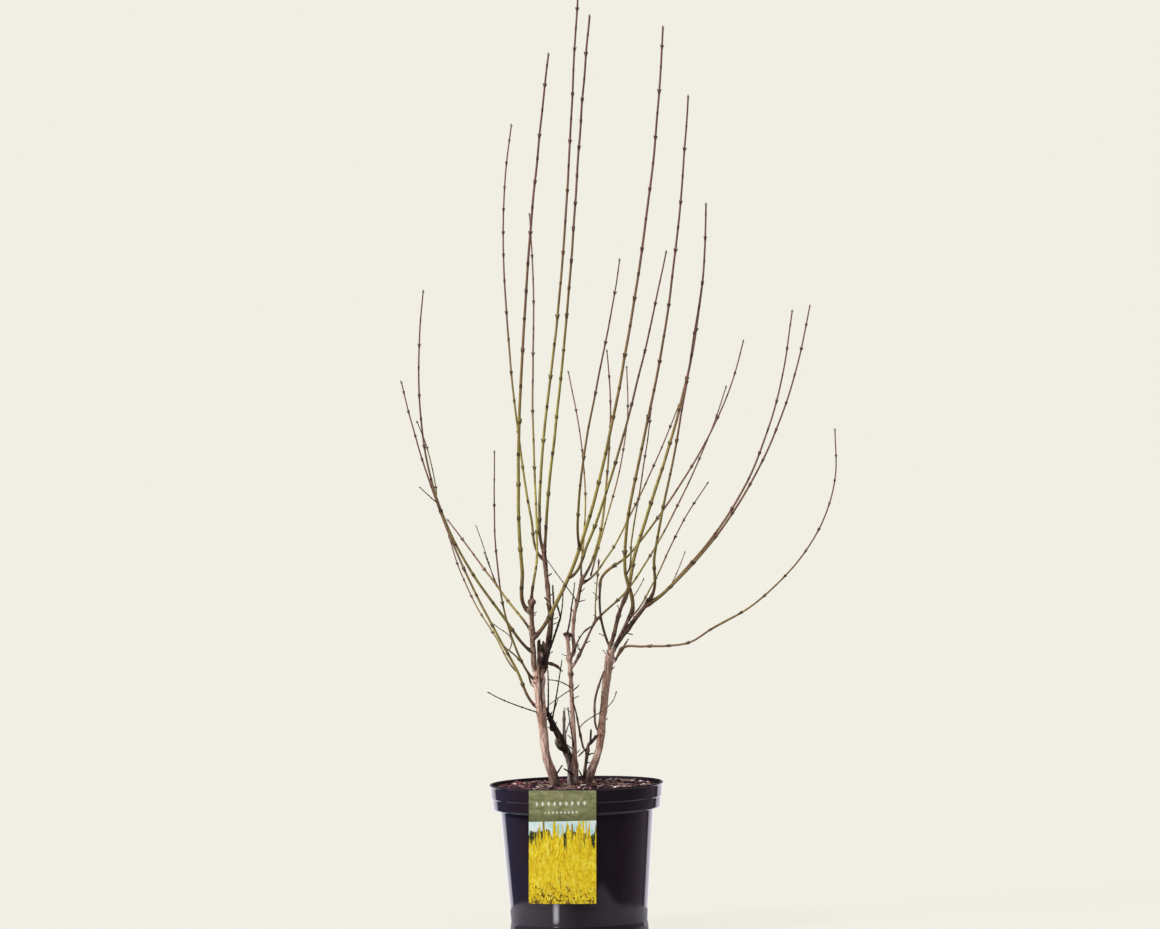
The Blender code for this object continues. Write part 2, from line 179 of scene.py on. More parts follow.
class Shading:
    """A tree of shader nodes being made, for the room or for a finish."""

    def __init__(self, tree):
        self.tree = tree

    def put(self, socket, value):
        """Links an output to a socket, or sets the socket to a plain value."""
        if isinstance(value, bpy.types.NodeSocket):
            self.tree.links.new(value, socket)
        else:
            socket.default_value = value

    def node(self, kind, **inputs):
        made = self.tree.nodes.new("ShaderNode" + kind)
        for name, value in inputs.items():
            self.put(made.inputs[name.replace("_", " ")], value)
        return made

    def ramp(self, value, stops):
        """Colours at shares of a value's range."""
        made = self.node("ValToRGB", Fac=value)
        elements = made.color_ramp.elements
        while len(elements) < len(stops):
            elements.new(0.5)
        for element, (position, colour) in zip(elements, stops):
            element.position = position
            element.color = (*colour[:3], 1.0)
        return made.outputs["Color"]

    def level(self, value, low, high, to_low=0.0, to_high=1.0, curve="SMOOTHSTEP"):
        made = self.node("MapRange", Value=value, From_Min=low, From_Max=high,
                         To_Min=to_low, To_Max=to_high)
        made.interpolation_type = curve
        return made.outputs["Result"]

    def mix(self, share, first, second):
        made = self.tree.nodes.new("ShaderNodeMix")
        made.data_type = "RGBA"
        for number, value in ((0, share), (6, first), (7, second)):
            self.put(made.inputs[number], value)
        return made.outputs[2]

    def wash(self, under, over, pattern, low, high, strength=1.0):
        """Lays one colour over another where a pattern passes from low to high."""
        return self.mix(self.level(pattern, low, high, 0.0, strength), under, over)

    def sum(self, how, *values):
        made = self.tree.nodes.new("ShaderNodeMath")
        made.operation = how
        for socket, value in zip(made.inputs, values):
            self.put(socket, value)
        return made.outputs[0]

    def choose(self, share, first, second):
        """The first shader, or the second for the rays that the share picks."""
        made = self.node("MixShader", Fac=share)
        self.put(made.inputs[1], first.outputs[0])
        self.put(made.inputs[2], second.outputs[0])
        return made


# Camera at the photograph's viewing angle, with its slight roll to the right

LENS = 127.6                 # mm, on a frame 36 mm wide
FRAME_WIDTH = 36.0
CAMERA_SPOT = (0.017, -6.6, 0.750)
CAMERA_ROLL = math.radians(1.25)


def set_camera():
    lens = bpy.data.cameras.new("camera")
    lens.lens = LENS
    lens.sensor_width = FRAME_WIDTH
    camera = bpy.data.objects.new("camera", lens)
    camera.location = CAMERA_SPOT
    camera.rotation_euler = (math.radians(90), CAMERA_ROLL, 0.0)
    bpy.context.scene.collection.objects.link(camera)
    bpy.context.scene.camera = camera


def set_studio():
    """A pale cream room: even where the camera sees it, and in the gloss of the pot dark
    in front and bright behind, as between studio screens."""
    scene = bpy.context.scene
    scene.view_settings.view_transform = "Standard"
    world = bpy.data.worlds.new("studio")
    world.use_nodes = True
    scene.world = world
    room = Shading(world.node_tree)
    backdrop = room.tree.nodes["Background"]
    backdrop.inputs["Color"].default_value = ROOM_CREAM
    generated = room.node("TexCoord").outputs["Generated"]
    ways = room.node("SeparateXYZ", Vector=generated).outputs
    depth = room.level(ways["Y"], -1.0, 1.0, curve="LINEAR")
    right = room.level(ways["X"], -0.10, 0.10, curve="LINEAR")
    above = room.level(ways["Z"], 0.0, 0.08, curve="LINEAR")
    around = room.mix(right, room.ramp(depth, LEFT_SCREENS), room.ramp(depth, RIGHT_SCREENS))
    mirrored = room.node("Background", Color=room.mix(above, around, CEILING),
                         Strength=BACK_SCREEN)
    fill = room.node("Background", Color=FILL_WHITE, Strength=FILL)
    ray = room.node("LightPath").outputs
    lit = room.choose(ray["Is Glossy Ray"], fill, mirrored)
    seen = room.choose(ray["Is Camera Ray"], lit, backdrop)
    room.put(room.tree.nodes["World Output"].inputs["Surface"], seen.outputs[0])


ROOM_CREAM = hue(241, 238, 227)
FILL = 0.34
FILL_WHITE = (1.0, 0.98, 0.97, 1.0)
BACK_SCREEN = 1.75
# What gloss mirrors, as shares of that screen, from in front of the pot (0) to behind (1)
LEFT_SCREENS = [
    (0.00, (0.028, 0.022, 0.030)),
    (0.45, (0.034, 0.030, 0.046)),
    (0.60, (0.030, 0.046, 0.110)),
    (0.885, (0.030, 0.050, 0.117)),
    (0.892, (0.92, 0.90, 1.00)),
    (1.00, (0.84, 0.82, 0.92)),
]
RIGHT_SCREENS = [
    (0.00, (0.028, 0.022, 0.030)),
    (0.35, (0.040, 0.032, 0.042)),
    (0.60, (0.125, 0.100, 0.125)),
    (0.80, (0.200, 0.155, 0.205)),
    (0.855, (0.070, 0.050, 0.072)),
    (0.880, (0.070, 0.050, 0.072)),
    (0.888, (0.92, 0.88, 0.98)),
    (1.00, (0.84, 0.80, 0.90)),
]
CEILING = (0.070, 0.062, 0.070, 1.0)


def sun(name, strength, spread, heading, height):
    """A soft distant light from a heading (degrees from +X towards +Y) and a height."""
    light = bpy.data.lights.new(name, "SUN")
    light.energy = strength
    light.angle = math.radians(spread)
    lamp = bpy.data.objects.new(name, light)
    rise = math.radians(height)
    source = facing(math.radians(heading)) * math.cos(rise) + UP * math.sin(rise)
    lamp.rotation_euler = source.to_track_quat("Z", "Y").to_euler()
    lamp.visible_glossy = False
    bpy.context.scene.collection.objects.link(lamp)


def stage_sheet(name, bm, material, seen_by_camera):
    """Something of the studio: a floor for the camera, or a shape for the pot's gloss."""
    mesh = bpy.data.meshes.new(name)
    bm.to_mesh(mesh)
    bm.free()
    mesh.materials.append(material)
    sheet = bpy.data.objects.new(name, mesh)
    sheet.visible_camera = seen_by_camera
    sheet.visible_glossy = not seen_by_camera
    sheet.visible_diffuse = False
    sheet.visible_shadow = False
    bpy.context.scene.collection.objects.link(sheet)


def glowing(name, colour, base, glow):
    """A matt paint that lights itself, so that shadows on it stay faint."""
    finish = Finish(name, 1.0)
    finish.set("Base Color", tuple(base * c for c in colour[:3]) + (1.0,))
    finish.set("Specular IOR Level", 0.0)
    finish.set("Emission Color", colour)
    finish.set("Emission Strength", glow)
    return finish


MAT_REACH = 0.338            # it reaches further to the left, and at the front's right
MAT_LEFT = 0.022
MAT_FRONT = 0.125
STREAK_NEAR = Vector((-0.094, -0.170, 0.3 * MM))
STREAK_FAR = Vector((-0.182, -0.289, 0.3 * MM))
STREAK_HALF_WIDTH = Vector((0.0133, -0.0078, 0.0))
STREAK_GLOW = 11.0


def lay_floor():
    """The floor, the pale mat that shows in the gloss of the pot's foot, brighter to the
    sides, and a streak of light on it."""
    floor = bmesh.new()
    bmesh.ops.create_grid(floor, x_segments=1, y_segments=1, size=60.0)
    bmesh.ops.translate(floor, verts=floor.verts, vec=(0.0, 0.0, -0.2 * MM))
    paint = glowing("floor_paint", ROOM_CREAM, 0.05, 0.938)
    stage_sheet("floor", floor, paint.material, True)

    mat = bmesh.new()
    bmesh.ops.create_circle(mat, cap_ends=True, segments=180, radius=1.0)
    for vert in mat.verts:
        heading = math.degrees(math.atan2(vert.co.y, vert.co.x))
        vert.co *= (MAT_REACH + MAT_LEFT * math.cos(math.radians(heading - 175))
                    + MAT_FRONT * hump(heading + 56, 13))
    paper = glowing("mat_paper", (0.92, 0.90, 1.0, 1.0), 0.0, 1.0)
    aside = paper.sum("ABSOLUTE", paper.along("X"))
    paper.set("Emission Strength", paper.sum("MULTIPLY_ADD", aside, 1.7, 0.27))
    stage_sheet("mat", mat, paper.material, False)

    streak = bmesh.new()
    bmesh.ops.create_grid(streak, x_segments=8, y_segments=8, size=1.0)
    shine = streak.verts.layers.float.new("shine")
    for vert in streak.verts:
        along, across = 0.5 + 0.5 * vert.co.x, vert.co.y
        vert[shine] = (1.0 - across ** 2) * (1.0 - abs(vert.co.x) ** 6)
        vert.co = STREAK_NEAR.lerp(STREAK_FAR, along)
        vert.co += STREAK_HALF_WIDTH * across * (1.0 + along)
    light = glowing("streak_light", (0.93, 0.92, 1.0, 1.0), 0.0, 1.0)
    light.set("Emission Strength", light.sum("MULTIPLY", light.mark("shine"), STREAK_GLOW))
    stage_sheet("streak", streak, light.material, False)


# Finishes

class Finish(Shading):
    """A material being made. Patterns read Object coordinates or the piece's attributes."""

    def __init__(self, name, roughness=0.8):
        self.material = bpy.data.materials.new(name)
        self.material.use_nodes = True
        super().__init__(self.material.node_tree)
        self.shader = self.tree.nodes["Principled BSDF"]
        self.coordinates = None
        self.set("Roughness", roughness)

    def set(self, name, value):
        self.put(self.shader.inputs[name], value)

    def place(self, scale=(1.0, 1.0, 1.0), centre=(0.0, 0.0, 0.0), turn=0.0):
        """Object coordinates about a centre, turned about Y and stretched."""
        if self.coordinates is None:
            self.coordinates = self.node("TexCoord").outputs["Object"]
        mapping = self.node("Mapping")
        mapping.vector_type = "TEXTURE"
        self.put(mapping.inputs["Vector"], self.coordinates)
        self.put(mapping.inputs["Location"], centre)
        self.put(mapping.inputs["Rotation"], (0.0, turn, 0.0))
        self.put(mapping.inputs["Scale"], tuple(1.0 / s for s in scale))
        return mapping.outputs["Vector"]

    def along(self, axis, centre=(0.0, 0.0, 0.0)):
        """Distance from a centre along one axis."""
        return self.node("SeparateXYZ", Vector=self.place(centre=centre)).outputs[axis]

    def noise(self, scale, detail=3.0, stretch=(1.0, 1.0, 1.0), rough=0.5, warp=0.0):
        made = self.node("TexNoise", Vector=self.place(stretch), Scale=scale,
                         Detail=detail, Roughness=rough, Distortion=warp)
        return made.outputs["Fac"]

    def cells(self, vector, scale):
        return self.node("TexVoronoi", Vector=vector, Scale=scale).outputs["Distance"]

    def mark(self, name):
        made = self.node("Attribute")
        made.attribute_name = name
        return made.outputs["Fac"]

    def bump(self, height, depth, strength=1.0):
        made = self.node("Bump", Height=height, Distance=depth, Strength=strength)
        self.set("Normal", made.outputs["Normal"])


def old_bark():
    """Pinkish tan bark with fine cross marks on the stems, browner on the boughs, and
    near black where the wood is dead."""
    finish = Finish("old_bark")
    streaks = finish.noise(150.0, 4.0, (1.0, 1.0, 0.16), 0.6)
    patches = finish.noise(34.0, 3.0, (1.0, 1.0, 0.5), 0.6)
    marks = finish.noise(300.0, 2.0, (1.0, 1.0, 3.2), 0.5)
    scars = finish.noise(210.0, 3.0, (1.0, 1.0, 1.8), 0.6, 0.5)
    stem = finish.ramp(streaks, [(0.30, hue(138, 98, 86)), (0.44, hue(210, 166, 148)),
                                 (0.58, hue(242, 208, 192)), (0.78, hue(196, 154, 120))])
    stem = finish.wash(stem, hue(178, 128, 98), patches, 0.44, 0.66, 0.80)
    stem = finish.wash(stem, hue(250, 230, 216), marks, 0.56, 0.66, 0.80)
    stem = finish.wash(stem, hue(98, 64, 54), scars, 0.57, 0.67, 0.70)
    bough = finish.ramp(streaks, [(0.32, hue(84, 58, 44)), (0.50, hue(142, 110, 84)),
                                  (0.70, hue(182, 152, 120))])
    dead = finish.ramp(streaks, [(0.32, hue(30, 20, 20)), (0.55, hue(56, 40, 36)),
                                 (0.75, hue(96, 76, 68))])
    bare = finish.ramp(streaks, [(0.35, hue(120, 104, 98)), (0.65, hue(192, 178, 172))])
    colour = bough
    # The furrow mark is painted shade: it darkens the furrows and the left stem's seam.
    for mark, over in (("paleness", stem), ("deadness", dead), ("bareness", bare),
                       ("furrow", hue(52, 34, 28))):
        colour = finish.mix(finish.mark(mark), colour, over)
    finish.set("Base Color", colour)
    finish.set("Roughness", finish.level(streaks, 0.3, 0.7, 0.90, 0.66))
    finish.bump(finish.noise(900.0, 3.0, (1.0, 1.0, 0.3)), 0.25 * MM, 0.5)
    return finish.material


def whip_bark():
    """Young bark: yellow olive low on a whip, purple brown towards its tip, with pale
    corky dots and a dark ring at each pair of buds."""
    finish = Finish("whip_bark")
    streaks = finish.noise(260.0, 3.0, (1.0, 1.0, 0.12), 0.6)
    blotches = finish.noise(30.0, 2.0, (1.0, 1.0, 0.4))
    wander = finish.sum("MULTIPLY_ADD", blotches, 0.30, -0.15)
    colour = finish.ramp(finish.sum("ADD", finish.mark("height_share"), wander), [
        (0.02, hue(116, 88, 60)), (0.12, hue(150, 130, 70)), (0.30, hue(152, 128, 76)),
        (0.46, hue(146, 114, 84)), (0.72, hue(138, 98, 88)), (1.00, hue(130, 86, 86))])
    colour = finish.mix(finish.mark("yellowness"), colour, hue(188, 180, 88))
    colour = finish.wash(colour, hue(84, 64, 50), streaks, 0.35, 0.75, 0.60)
    corky = finish.level(finish.cells(finish.place((1.0, 1.0, 0.5)), 620.0), 0.30, 0.18)
    few = finish.level(finish.noise(300.0, 1.0), 0.52, 0.60)
    colour = finish.mix(finish.sum("MULTIPLY", corky, few), colour, hue(170, 150, 124))
    colour = finish.mix(finish.mark("node"), colour, hue(64, 44, 40))
    finish.set("Base Color", colour)
    finish.set("Roughness", finish.level(streaks, 0.3, 0.7, 0.62, 0.46))
    finish.bump(finish.sum("ADD", streaks, corky), 0.12 * MM, 0.6)
    return finish.material


def plain_bark(name, colour, roughness):
    """One plain colour for small joined pieces, with a fine grain in its surface."""
    finish = Finish(name, roughness)
    finish.set("Base Color", colour)
    finish.bump(finish.noise(1100.0, 3.0, (1.0, 1.0, 0.4)), 0.15 * MM, 0.6)
    return finish.material


def pot_plastic():
    """Glossy black plastic with a violet tinge, scuffed, and paler round its foot: dust and a
    painted reflection of the floor.
    """
    finish = Finish("pot_plastic")
    smears = finish.noise(9.0, 4.0, (1.0, 1.0, 0.6), 0.55, 0.4)
    dust_and_sheen_height = finish.sum("MULTIPLY_ADD", smears, 0.030, finish.along("Z"))
    colour = finish.wash((0.0165, 0.0102, 0.0160, 1.0), (0.0235, 0.0150, 0.0240, 1.0),
                         smears, 0.3, 0.7)
    # Paler grey below a wavy line near the foot: dust, and a painted reflection of the floor.
    colour = finish.wash(colour, hue(74, 68, 74), dust_and_sheen_height, 0.066, 0.058, 0.16)
    colour = finish.wash(colour, hue(70, 62, 66), finish.noise(160.0, 2.0), 0.64, 0.76, 0.20)
    finish.set("Base Color", colour)
    finish.set("Roughness", finish.level(smears, 0.30, 0.70, 0.075, 0.125))
    finish.set("IOR", 1.49)
    finish.bump(finish.noise(30.0, 3.0), 0.10 * MM, 0.10)
    return finish.material


def compost_earth():
    finish = Finish("compost_earth", 0.95)
    crumbs = finish.noise(420.0, 5.0, rough=0.7)
    damp = finish.noise(26.0, 3.0)
    colour = finish.ramp(crumbs, [(0.38, hue(18, 11, 15)), (0.52, hue(60, 38, 44)),
                                  (0.68, hue(128, 94, 98))])
    finish.set("Base Color", finish.wash(colour, hue(46, 24, 32), damp, 0.4, 0.7, 0.5))
    finish.bump(crumbs, 1.2 * MM, 0.9)
    return finish.material


DIAMOND_ROWS = [
    # height on the card, half width, half height and reach to each side
    (157.5 * MM, 3.0 * MM, 4.8 * MM, 41 * MM),
    (143.5 * MM, 2.0 * MM, 2.8 * MM, 27 * MM),
]
DIAMOND_PITCH = 1.55         # half the distance between two diamonds, in half widths


def printed_heading(finish, height, across):
    """Mottled olive, darker low down, with two rows of small pale diamonds."""
    tones = finish.noise(1.0, 4.0, (60.0, 1.0, 130.0), 0.65, 0.6)
    colour = finish.ramp(tones, [(0.30, hue(104, 108, 66)), (0.48, hue(140, 142, 98)),
                                 (0.66, hue(168, 166, 122))])
    colour = finish.wash(colour, hue(84, 92, 52), height, 0.150, 0.132, 0.55)
    sway = finish.sum("MULTIPLY_ADD", finish.noise(90.0, 1.0), 0.003, across)
    aside = finish.sum("ABSOLUTE", across)
    for row, half_width, half_height, reach in DIAMOND_ROWS:
        step = finish.sum("PINGPONG", sway, DIAMOND_PITCH * half_width)
        step = finish.sum("DIVIDE", step, half_width)
        rise = finish.sum("DIVIDE", finish.sum("SUBTRACT", height, row), half_height)
        distance = finish.sum("ADD", step, finish.sum("ABSOLUTE", rise))
        within = finish.level(aside, reach, reach - 1 * MM)
        diamond = finish.sum("MULTIPLY", within, finish.level(distance, 1.0, 0.7, 0.0, 0.9))
        colour = finish.mix(diamond, colour, hue(240, 240, 222))
    return colour


def printed_scenery(finish, height):
    """A hazy sky over a dark hedge with an uneven top."""
    haze = finish.noise(60.0, 2.0, (1.0, 1.0, 0.6))
    sky = finish.wash(hue(238, 252, 250), hue(186, 230, 228), haze, 0.35, 0.65)
    leaves = finish.noise(300.0, 3.0, rough=0.7)
    hedge = finish.ramp(leaves, [(0.38, hue(24, 38, 30)), (0.52, hue(62, 74, 36)),
                                 (0.66, hue(150, 144, 54))])
    columns = finish.noise(1.0, 2.0, (95.0, 1.0, 3.0))
    skyline = finish.sum("MULTIPLY_ADD", columns, 0.050, height)
    return finish.wash(sky, hedge, skyline, 0.1375, 0.1350)


def printed_blossom(finish, height):
    """Petals in several yellows, with dark gaps low down and stems showing higher up."""
    sprays = finish.noise(1.0, 4.0, (210.0, 1.0, 46.0), 0.68, 1.6)
    colour = finish.ramp(sprays, [(0.34, hue(214, 170, 12)), (0.47, hue(246, 212, 24)),
                                  (0.56, hue(255, 232, 40)), (0.68, hue(255, 244, 112))])
    petals = finish.cells(finish.place((1.0, 1.0, 0.6), turn=0.35), 300.0)
    colour = finish.wash(colour, hue(206, 164, 12), petals, 0.46, 0.70, 0.40)
    colour = finish.wash(colour, hue(255, 248, 130), petals, 0.24, 0.10, 0.55)
    shade = finish.noise(55.0, 2.0, (1.0, 1.0, 0.6), 0.6, 0.8)
    colour = finish.wash(colour, hue(210, 170, 16), shade, 0.52, 0.68, 0.45)
    bare = finish.noise(1.0, 4.0, (150.0, 1.0, 110.0), 0.72, 1.4)
    gaps = finish.sum("ADD", bare, finish.level(height, 0.046, 0.0, 0.0, 0.15))
    colour = finish.wash(colour, hue(116, 84, 24), gaps, 0.61, 0.72)
    between = finish.noise(1.0, 3.0, (200.0, 1.0, 18.0), 0.6, 0.5)
    stems = finish.sum("ADD", between, finish.level(height, 0.070, 0.120, 0.0, 0.14))
    return finish.wash(colour, hue(112, 104, 36), stems, 0.65, 0.72, 0.85)


def printed_card():
    """The card's front: an olive heading, and upright sprays of yellow blossom before a
    hedge and a strip of sky. Heights are from the card's lower edge."""
    finish = Finish("printed_card", 0.32)
    foot = ((CARD_LOW.x + CARD_HIGH.x) / 2, 0, CARD_LOW.z)
    height = finish.along("Z", foot)
    heading = printed_heading(finish, height, finish.along("X", foot))
    stalks = finish.noise(1.0, 2.0, (240.0, 1.0, 14.0), 0.6)
    tops = finish.noise(1.0, 2.0, (130.0, 1.0, 4.0))
    tops = finish.sum("MULTIPLY_ADD", tops, 0.085, height)
    thinning = finish.level(tops, 0.112, 0.186, 0.20, 0.66)
    shoots = finish.sum("SUBTRACT", stalks, thinning)
    picture = finish.wash(printed_scenery(finish, height), printed_blossom(finish, height),
                          shoots, -0.01, 0.02)
    finish.set("Base Color", finish.wash(picture, heading, height, 0.1296, 0.1299))
    finish.set("Coat Weight", 0.3)
    finish.set("Coat Roughness", 0.15)
    finish.bump(finish.noise(220.0, 2.0), 0.04 * MM, 0.2)
    return finish.material


# Reading and smoothing the limbs' axes

def read_knots(node):
    """Knots (x, y, z, girth) of a limb's axis, from foot to tip, read from its CAD tube."""
    bm = bmesh.new()
    bm.from_mesh(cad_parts[node].data)
    bmesh.ops.remove_doubles(bm, verts=bm.verts, dist=WELD)
    corners = [vert.co.copy() for vert in bm.verts]
    bm.free()
    chord = max(corners, key=lambda c: c.z) - min(corners, key=lambda c: c.z)
    corners.sort(key=lambda c: c.dot(chord))
    sides = 8 if node.endswith("_stem") else 6       # as the CAD tubes have
    knots = []
    for start in range(0, len(corners), sides):
        ring = corners[start:start + sides]
        middle = sum(ring, Vector()) / sides
        knots.append(Vector((*middle, (ring[0] - middle).length)))
    return knots


def curve_through(knots, step):
    """Rows about every step along a smooth curve through knots of uneven spacing."""
    spans = [(b - a).length for a, b in zip(knots, knots[1:])]
    slopes = [(b - a) / span for a, b, span in zip(knots, knots[1:], spans)]
    leans = [slopes[0]]
    for i in range(1, len(slopes)):
        both = spans[i - 1] + spans[i]
        leans.append((slopes[i - 1] * spans[i] + slopes[i] * spans[i - 1]) / both)
    leans.append(slopes[-1])
    rows = []
    for i, span in enumerate(spans):
        count = max(1, round(span / step))
        for k in range(count):
            t = k / count
            rest = 1.0 - t
            rows.append(knots[i] * (rest * rest * (1 + 2 * t))
                        + leans[i] * (span * t * rest * rest)
                        + knots[i + 1] * (t * t * (3 - 2 * t))
                        - leans[i + 1] * (span * t * t * rest))
    rows.append(knots[-1].copy())
    return rows


class Limb:
    """Stations along a limb's axis: point, girth, distance from its foot, and the two
    directions across it, carried from station to station without a twist."""

    def __init__(self, knots, foot, wander=0.0, seed=0.0):
        rows = curve_through(knots, STATION)
        self.points = [row.xyz for row in rows]
        self.girths = [row.w for row in rows]
        self.along = self.distances(foot)
        self.length = self.along[-1]
        if wander:
            self.stray(wander, seed)
        self.carry_frames()

    def distances(self, foot):
        along = [0.0]
        for low, high in zip(self.points, self.points[1:]):
            along.append(along[-1] + (high - low).length)
        nearest = min(range(len(along)), key=lambda i: (self.points[i] - foot).length)
        return [distance - along[nearest] for distance in along]

    def stray(self, amount, seed):
        """Small bends along the limb, none at its foot."""
        for i, (point, distance) in enumerate(zip(self.points, self.along)):
            fade = clamp(distance / (60 * MM))
            where = Vector((seed, seed * 0.7, distance * 17.0))
            push = noise.noise_vector(where) * amount * fade
            self.points[i] = point + Vector((push.x, push.y, 0.0))

    def carry_frames(self):
        last = len(self.points) - 1
        self.heads = []
        for i in range(last + 1):
            head = self.points[min(i + 1, last)] - self.points[max(i - 1, 0)]
            self.heads.append(head.normalized())
        across = Vector((1.0, 0.0, 0.0))
        self.across = []
        self.over = []
        for head in self.heads:
            across = (across - head * across.dot(head)).normalized()
            self.across.append(across)
            self.over.append(head.cross(across))

    def station(self, distance):
        """The station nearest a distance from the foot."""
        return min(range(len(self.along)), key=lambda i: abs(self.along[i] - distance))

    def at_height(self, height):
        return min(range(len(self.points)), key=lambda i: abs(self.points[i].z - height))

    def outward(self, i, turn):
        return self.across[i] * math.cos(turn) + self.over[i] * math.sin(turn)


def knuckle_swelling(name, height):
    """How much a limb swells at a height, over its plain girth."""
    swell = 0.0
    for middle, share, reach in KNUCKLES.get(name, ()):
        swell += share * hump(height - middle, reach * MM)
    return swell


def heart_of(node, knots, axes):
    """Where a limb's core starts: on the axis of the wood that carries it, a little
    below its foot. Returns that knot and the carrier's name."""
    foot = knots[node][0]
    depths = []
    for other, rows in axes.items():
        if other != node:
            depths.extend(((row.xyz - foot.xyz).length - row.w, other, i)
                          for i, row in enumerate(rows))
    carrier, i = min(depths)[1:]
    rows = axes[carrier]
    below = max(0, i - round(0.9 * rows[i].w / STATION) - 1)
    heart = rows[below].copy()
    heart.w = min(foot.w, 0.9 * heart.w)
    return heart, carrier


def read_limbs():
    """Every limb of the plant by its node's name, and the limb that carries it."""
    names = [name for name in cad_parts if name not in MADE_PIECES]
    knots = {name: read_knots(name) for name in names}
    for name in STANDING:
        del knots[name][1]       # the plumb ring just above a stem's flat foot
    axes = {name: curve_through(knots[name], STATION) for name in names}
    limbs = {}
    carriers = {}
    for number, name in enumerate(sorted(names)):
        foot = knots[name][0].xyz
        if name in STANDING:
            start = knots[name][0].copy()
            start.z -= BURIED
            carriers[name] = None
        else:
            start, carriers[name] = heart_of(name, knots, axes)
        slim = name not in OLD_WOOD
        limb = Limb([start] + knots[name], foot, 0.9 * MM if slim else 0.0, number)
        limb.girths = [girth * (1.0 + knuckle_swelling(name, point.z))
                       for girth, point in zip(limb.girths, limb.points)]
        limbs[name] = limb
    return limbs, carriers


OLD_WOOD = LEFT_WOOD + MIDDLE_WOOD + RIGHT_WOOD + DEAD_WOOD + SPROUT_WOOD


# Making limbs

def bend_tube(limb, sides, swelling=None, marks=None):
    """A straight tube with a loop of faces at each station, bent along the limb.

    swelling gives a share of the girth at a station and a turn round the limb, and marks
    are named values for each station."""
    last = len(limb.points) - 1
    bm = bmesh.new()
    bmesh.ops.create_cone(bm, cap_ends=True, cap_tris=False, segments=sides, radius1=1.0,
                          radius2=1.0, depth=1.0)
    risers = [e for e in bm.edges if abs(e.verts[0].co.z - e.verts[1].co.z) > 0.5]
    bmesh.ops.subdivide_edges(bm, edges=risers, cuts=last - 1)
    layers = {name: bm.verts.layers.float.new(name) for name in marks or {}}
    for vert in bm.verts:
        i = round((vert.co.z + 0.5) * last)
        turn = math.atan2(vert.co.y, vert.co.x)
        girth = limb.girths[i] * (swelling(i, turn) if swelling else 1.0)
        for name, layer in layers.items():
            vert[layer] = marks[name][i]
        vert.co = limb.points[i] + limb.outward(i, turn) * girth
    return bm


def joined(parts):
    """Several meshes as one. Frees the parts."""
    whole = bmesh.new()
    for part in parts:
        mesh = bpy.data.meshes.new("part")
        part.to_mesh(mesh)
        part.free()
        whole.from_mesh(mesh)
        bpy.data.meshes.remove(mesh)
    return whole


def add_piece(name, bm, materials, stands_for=(), sharp=None):
    """Puts a finished mesh in the frame, in its place, smooth but for its sharp edges."""
    mesh = bpy.data.meshes.new(name)
    bm.to_mesh(mesh)
    bm.free()
    mesh.shade_smooth()
    if sharp:
        mesh.set_sharp_from_angle(angle=math.radians(sharp))
    for material in materials:
        mesh.materials.append(material)
    piece = bpy.data.objects.new(name, mesh)
    bpy.context.scene.collection.objects.link(piece)
    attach(piece, "root")
    if stands_for:
        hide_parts(*stands_for)


def rounded_tip(limb, i):
    """Draws a limb's last stations in to a blunt tip."""
    left = (limb.length - limb.along[i]) / max(limb.girths[-1] * 1.6, 0.1 * MM)
    return 0.35 + 0.65 * math.sqrt(1 - (1 - left) ** 2) if left < 1 else 1.0


def foot_flare(limb, i):
    """The swollen collar where a limb leaves the wood that carries it."""
    reach = 2.0 * limb.girths[i]
    return 1.0 + 0.28 * hump(limb.along[i], reach)


# Old wood: stems and boughs fused where they fork

def collar_of(limb):
    """The first stretch of a whip, which the old wood closes round."""
    foot = limb.station(0.0)
    end = limb.station(3.2 * limb.girths[foot])
    stub = copy(limb)
    for field in ("points", "heads", "across", "over", "along"):
        setattr(stub, field, getattr(limb, field)[:end + 1])
    count = max(1, end - foot)
    stub.girths = [limb.girths[i] * (1.42 - 0.50 * max(0, i - foot) / count)
                   for i in range(end + 1)]
    stub.length = stub.along[-1]
    return stub


def break_end(bm, limb, seed):
    """Leaves a dead limb's end slanted and ragged, as where it snapped."""
    tip = limb.points[-1]
    head = limb.heads[-1]
    slant = limb.outward(-1, seed * 2.4)
    for vert in bm.verts:
        off = vert.co - tip
        if off.dot(head) > -0.7 * STATION:
            rough = noise.noise(Vector((off.x, off.y, seed * MM)) * 420.0)
            vert.co += head * (off.dot(slant) * 0.9 + rough * 2.2 * MM)


def burl(limb, height, heading, girth, reach, seed):
    """A lumpy swelling on a limb's side."""
    i = limb.at_height(height)
    bm = bmesh.new()
    bmesh.ops.create_icosphere(bm, subdivisions=3, radius=1.0)
    for vert in bm.verts:
        lump = 1.0 + 0.22 * noise.noise(vert.co * 1.6 + Vector((0.0, 0.0, seed)))
        vert.co = scaled(vert.co, (girth, girth, reach)) * lump * MM
    lean = UP.rotation_difference(limb.heads[i]).to_matrix()
    bmesh.ops.transform(bm, verts=bm.verts, matrix=lean.to_4x4())
    offset = 0.62 * limb.girths[i] + 0.25 * (girth * MM - limb.girths[i])
    centre = limb.points[i] + facing(math.radians(heading)) * offset
    bmesh.ops.translate(bm, verts=bm.verts, vec=centre)
    return bm


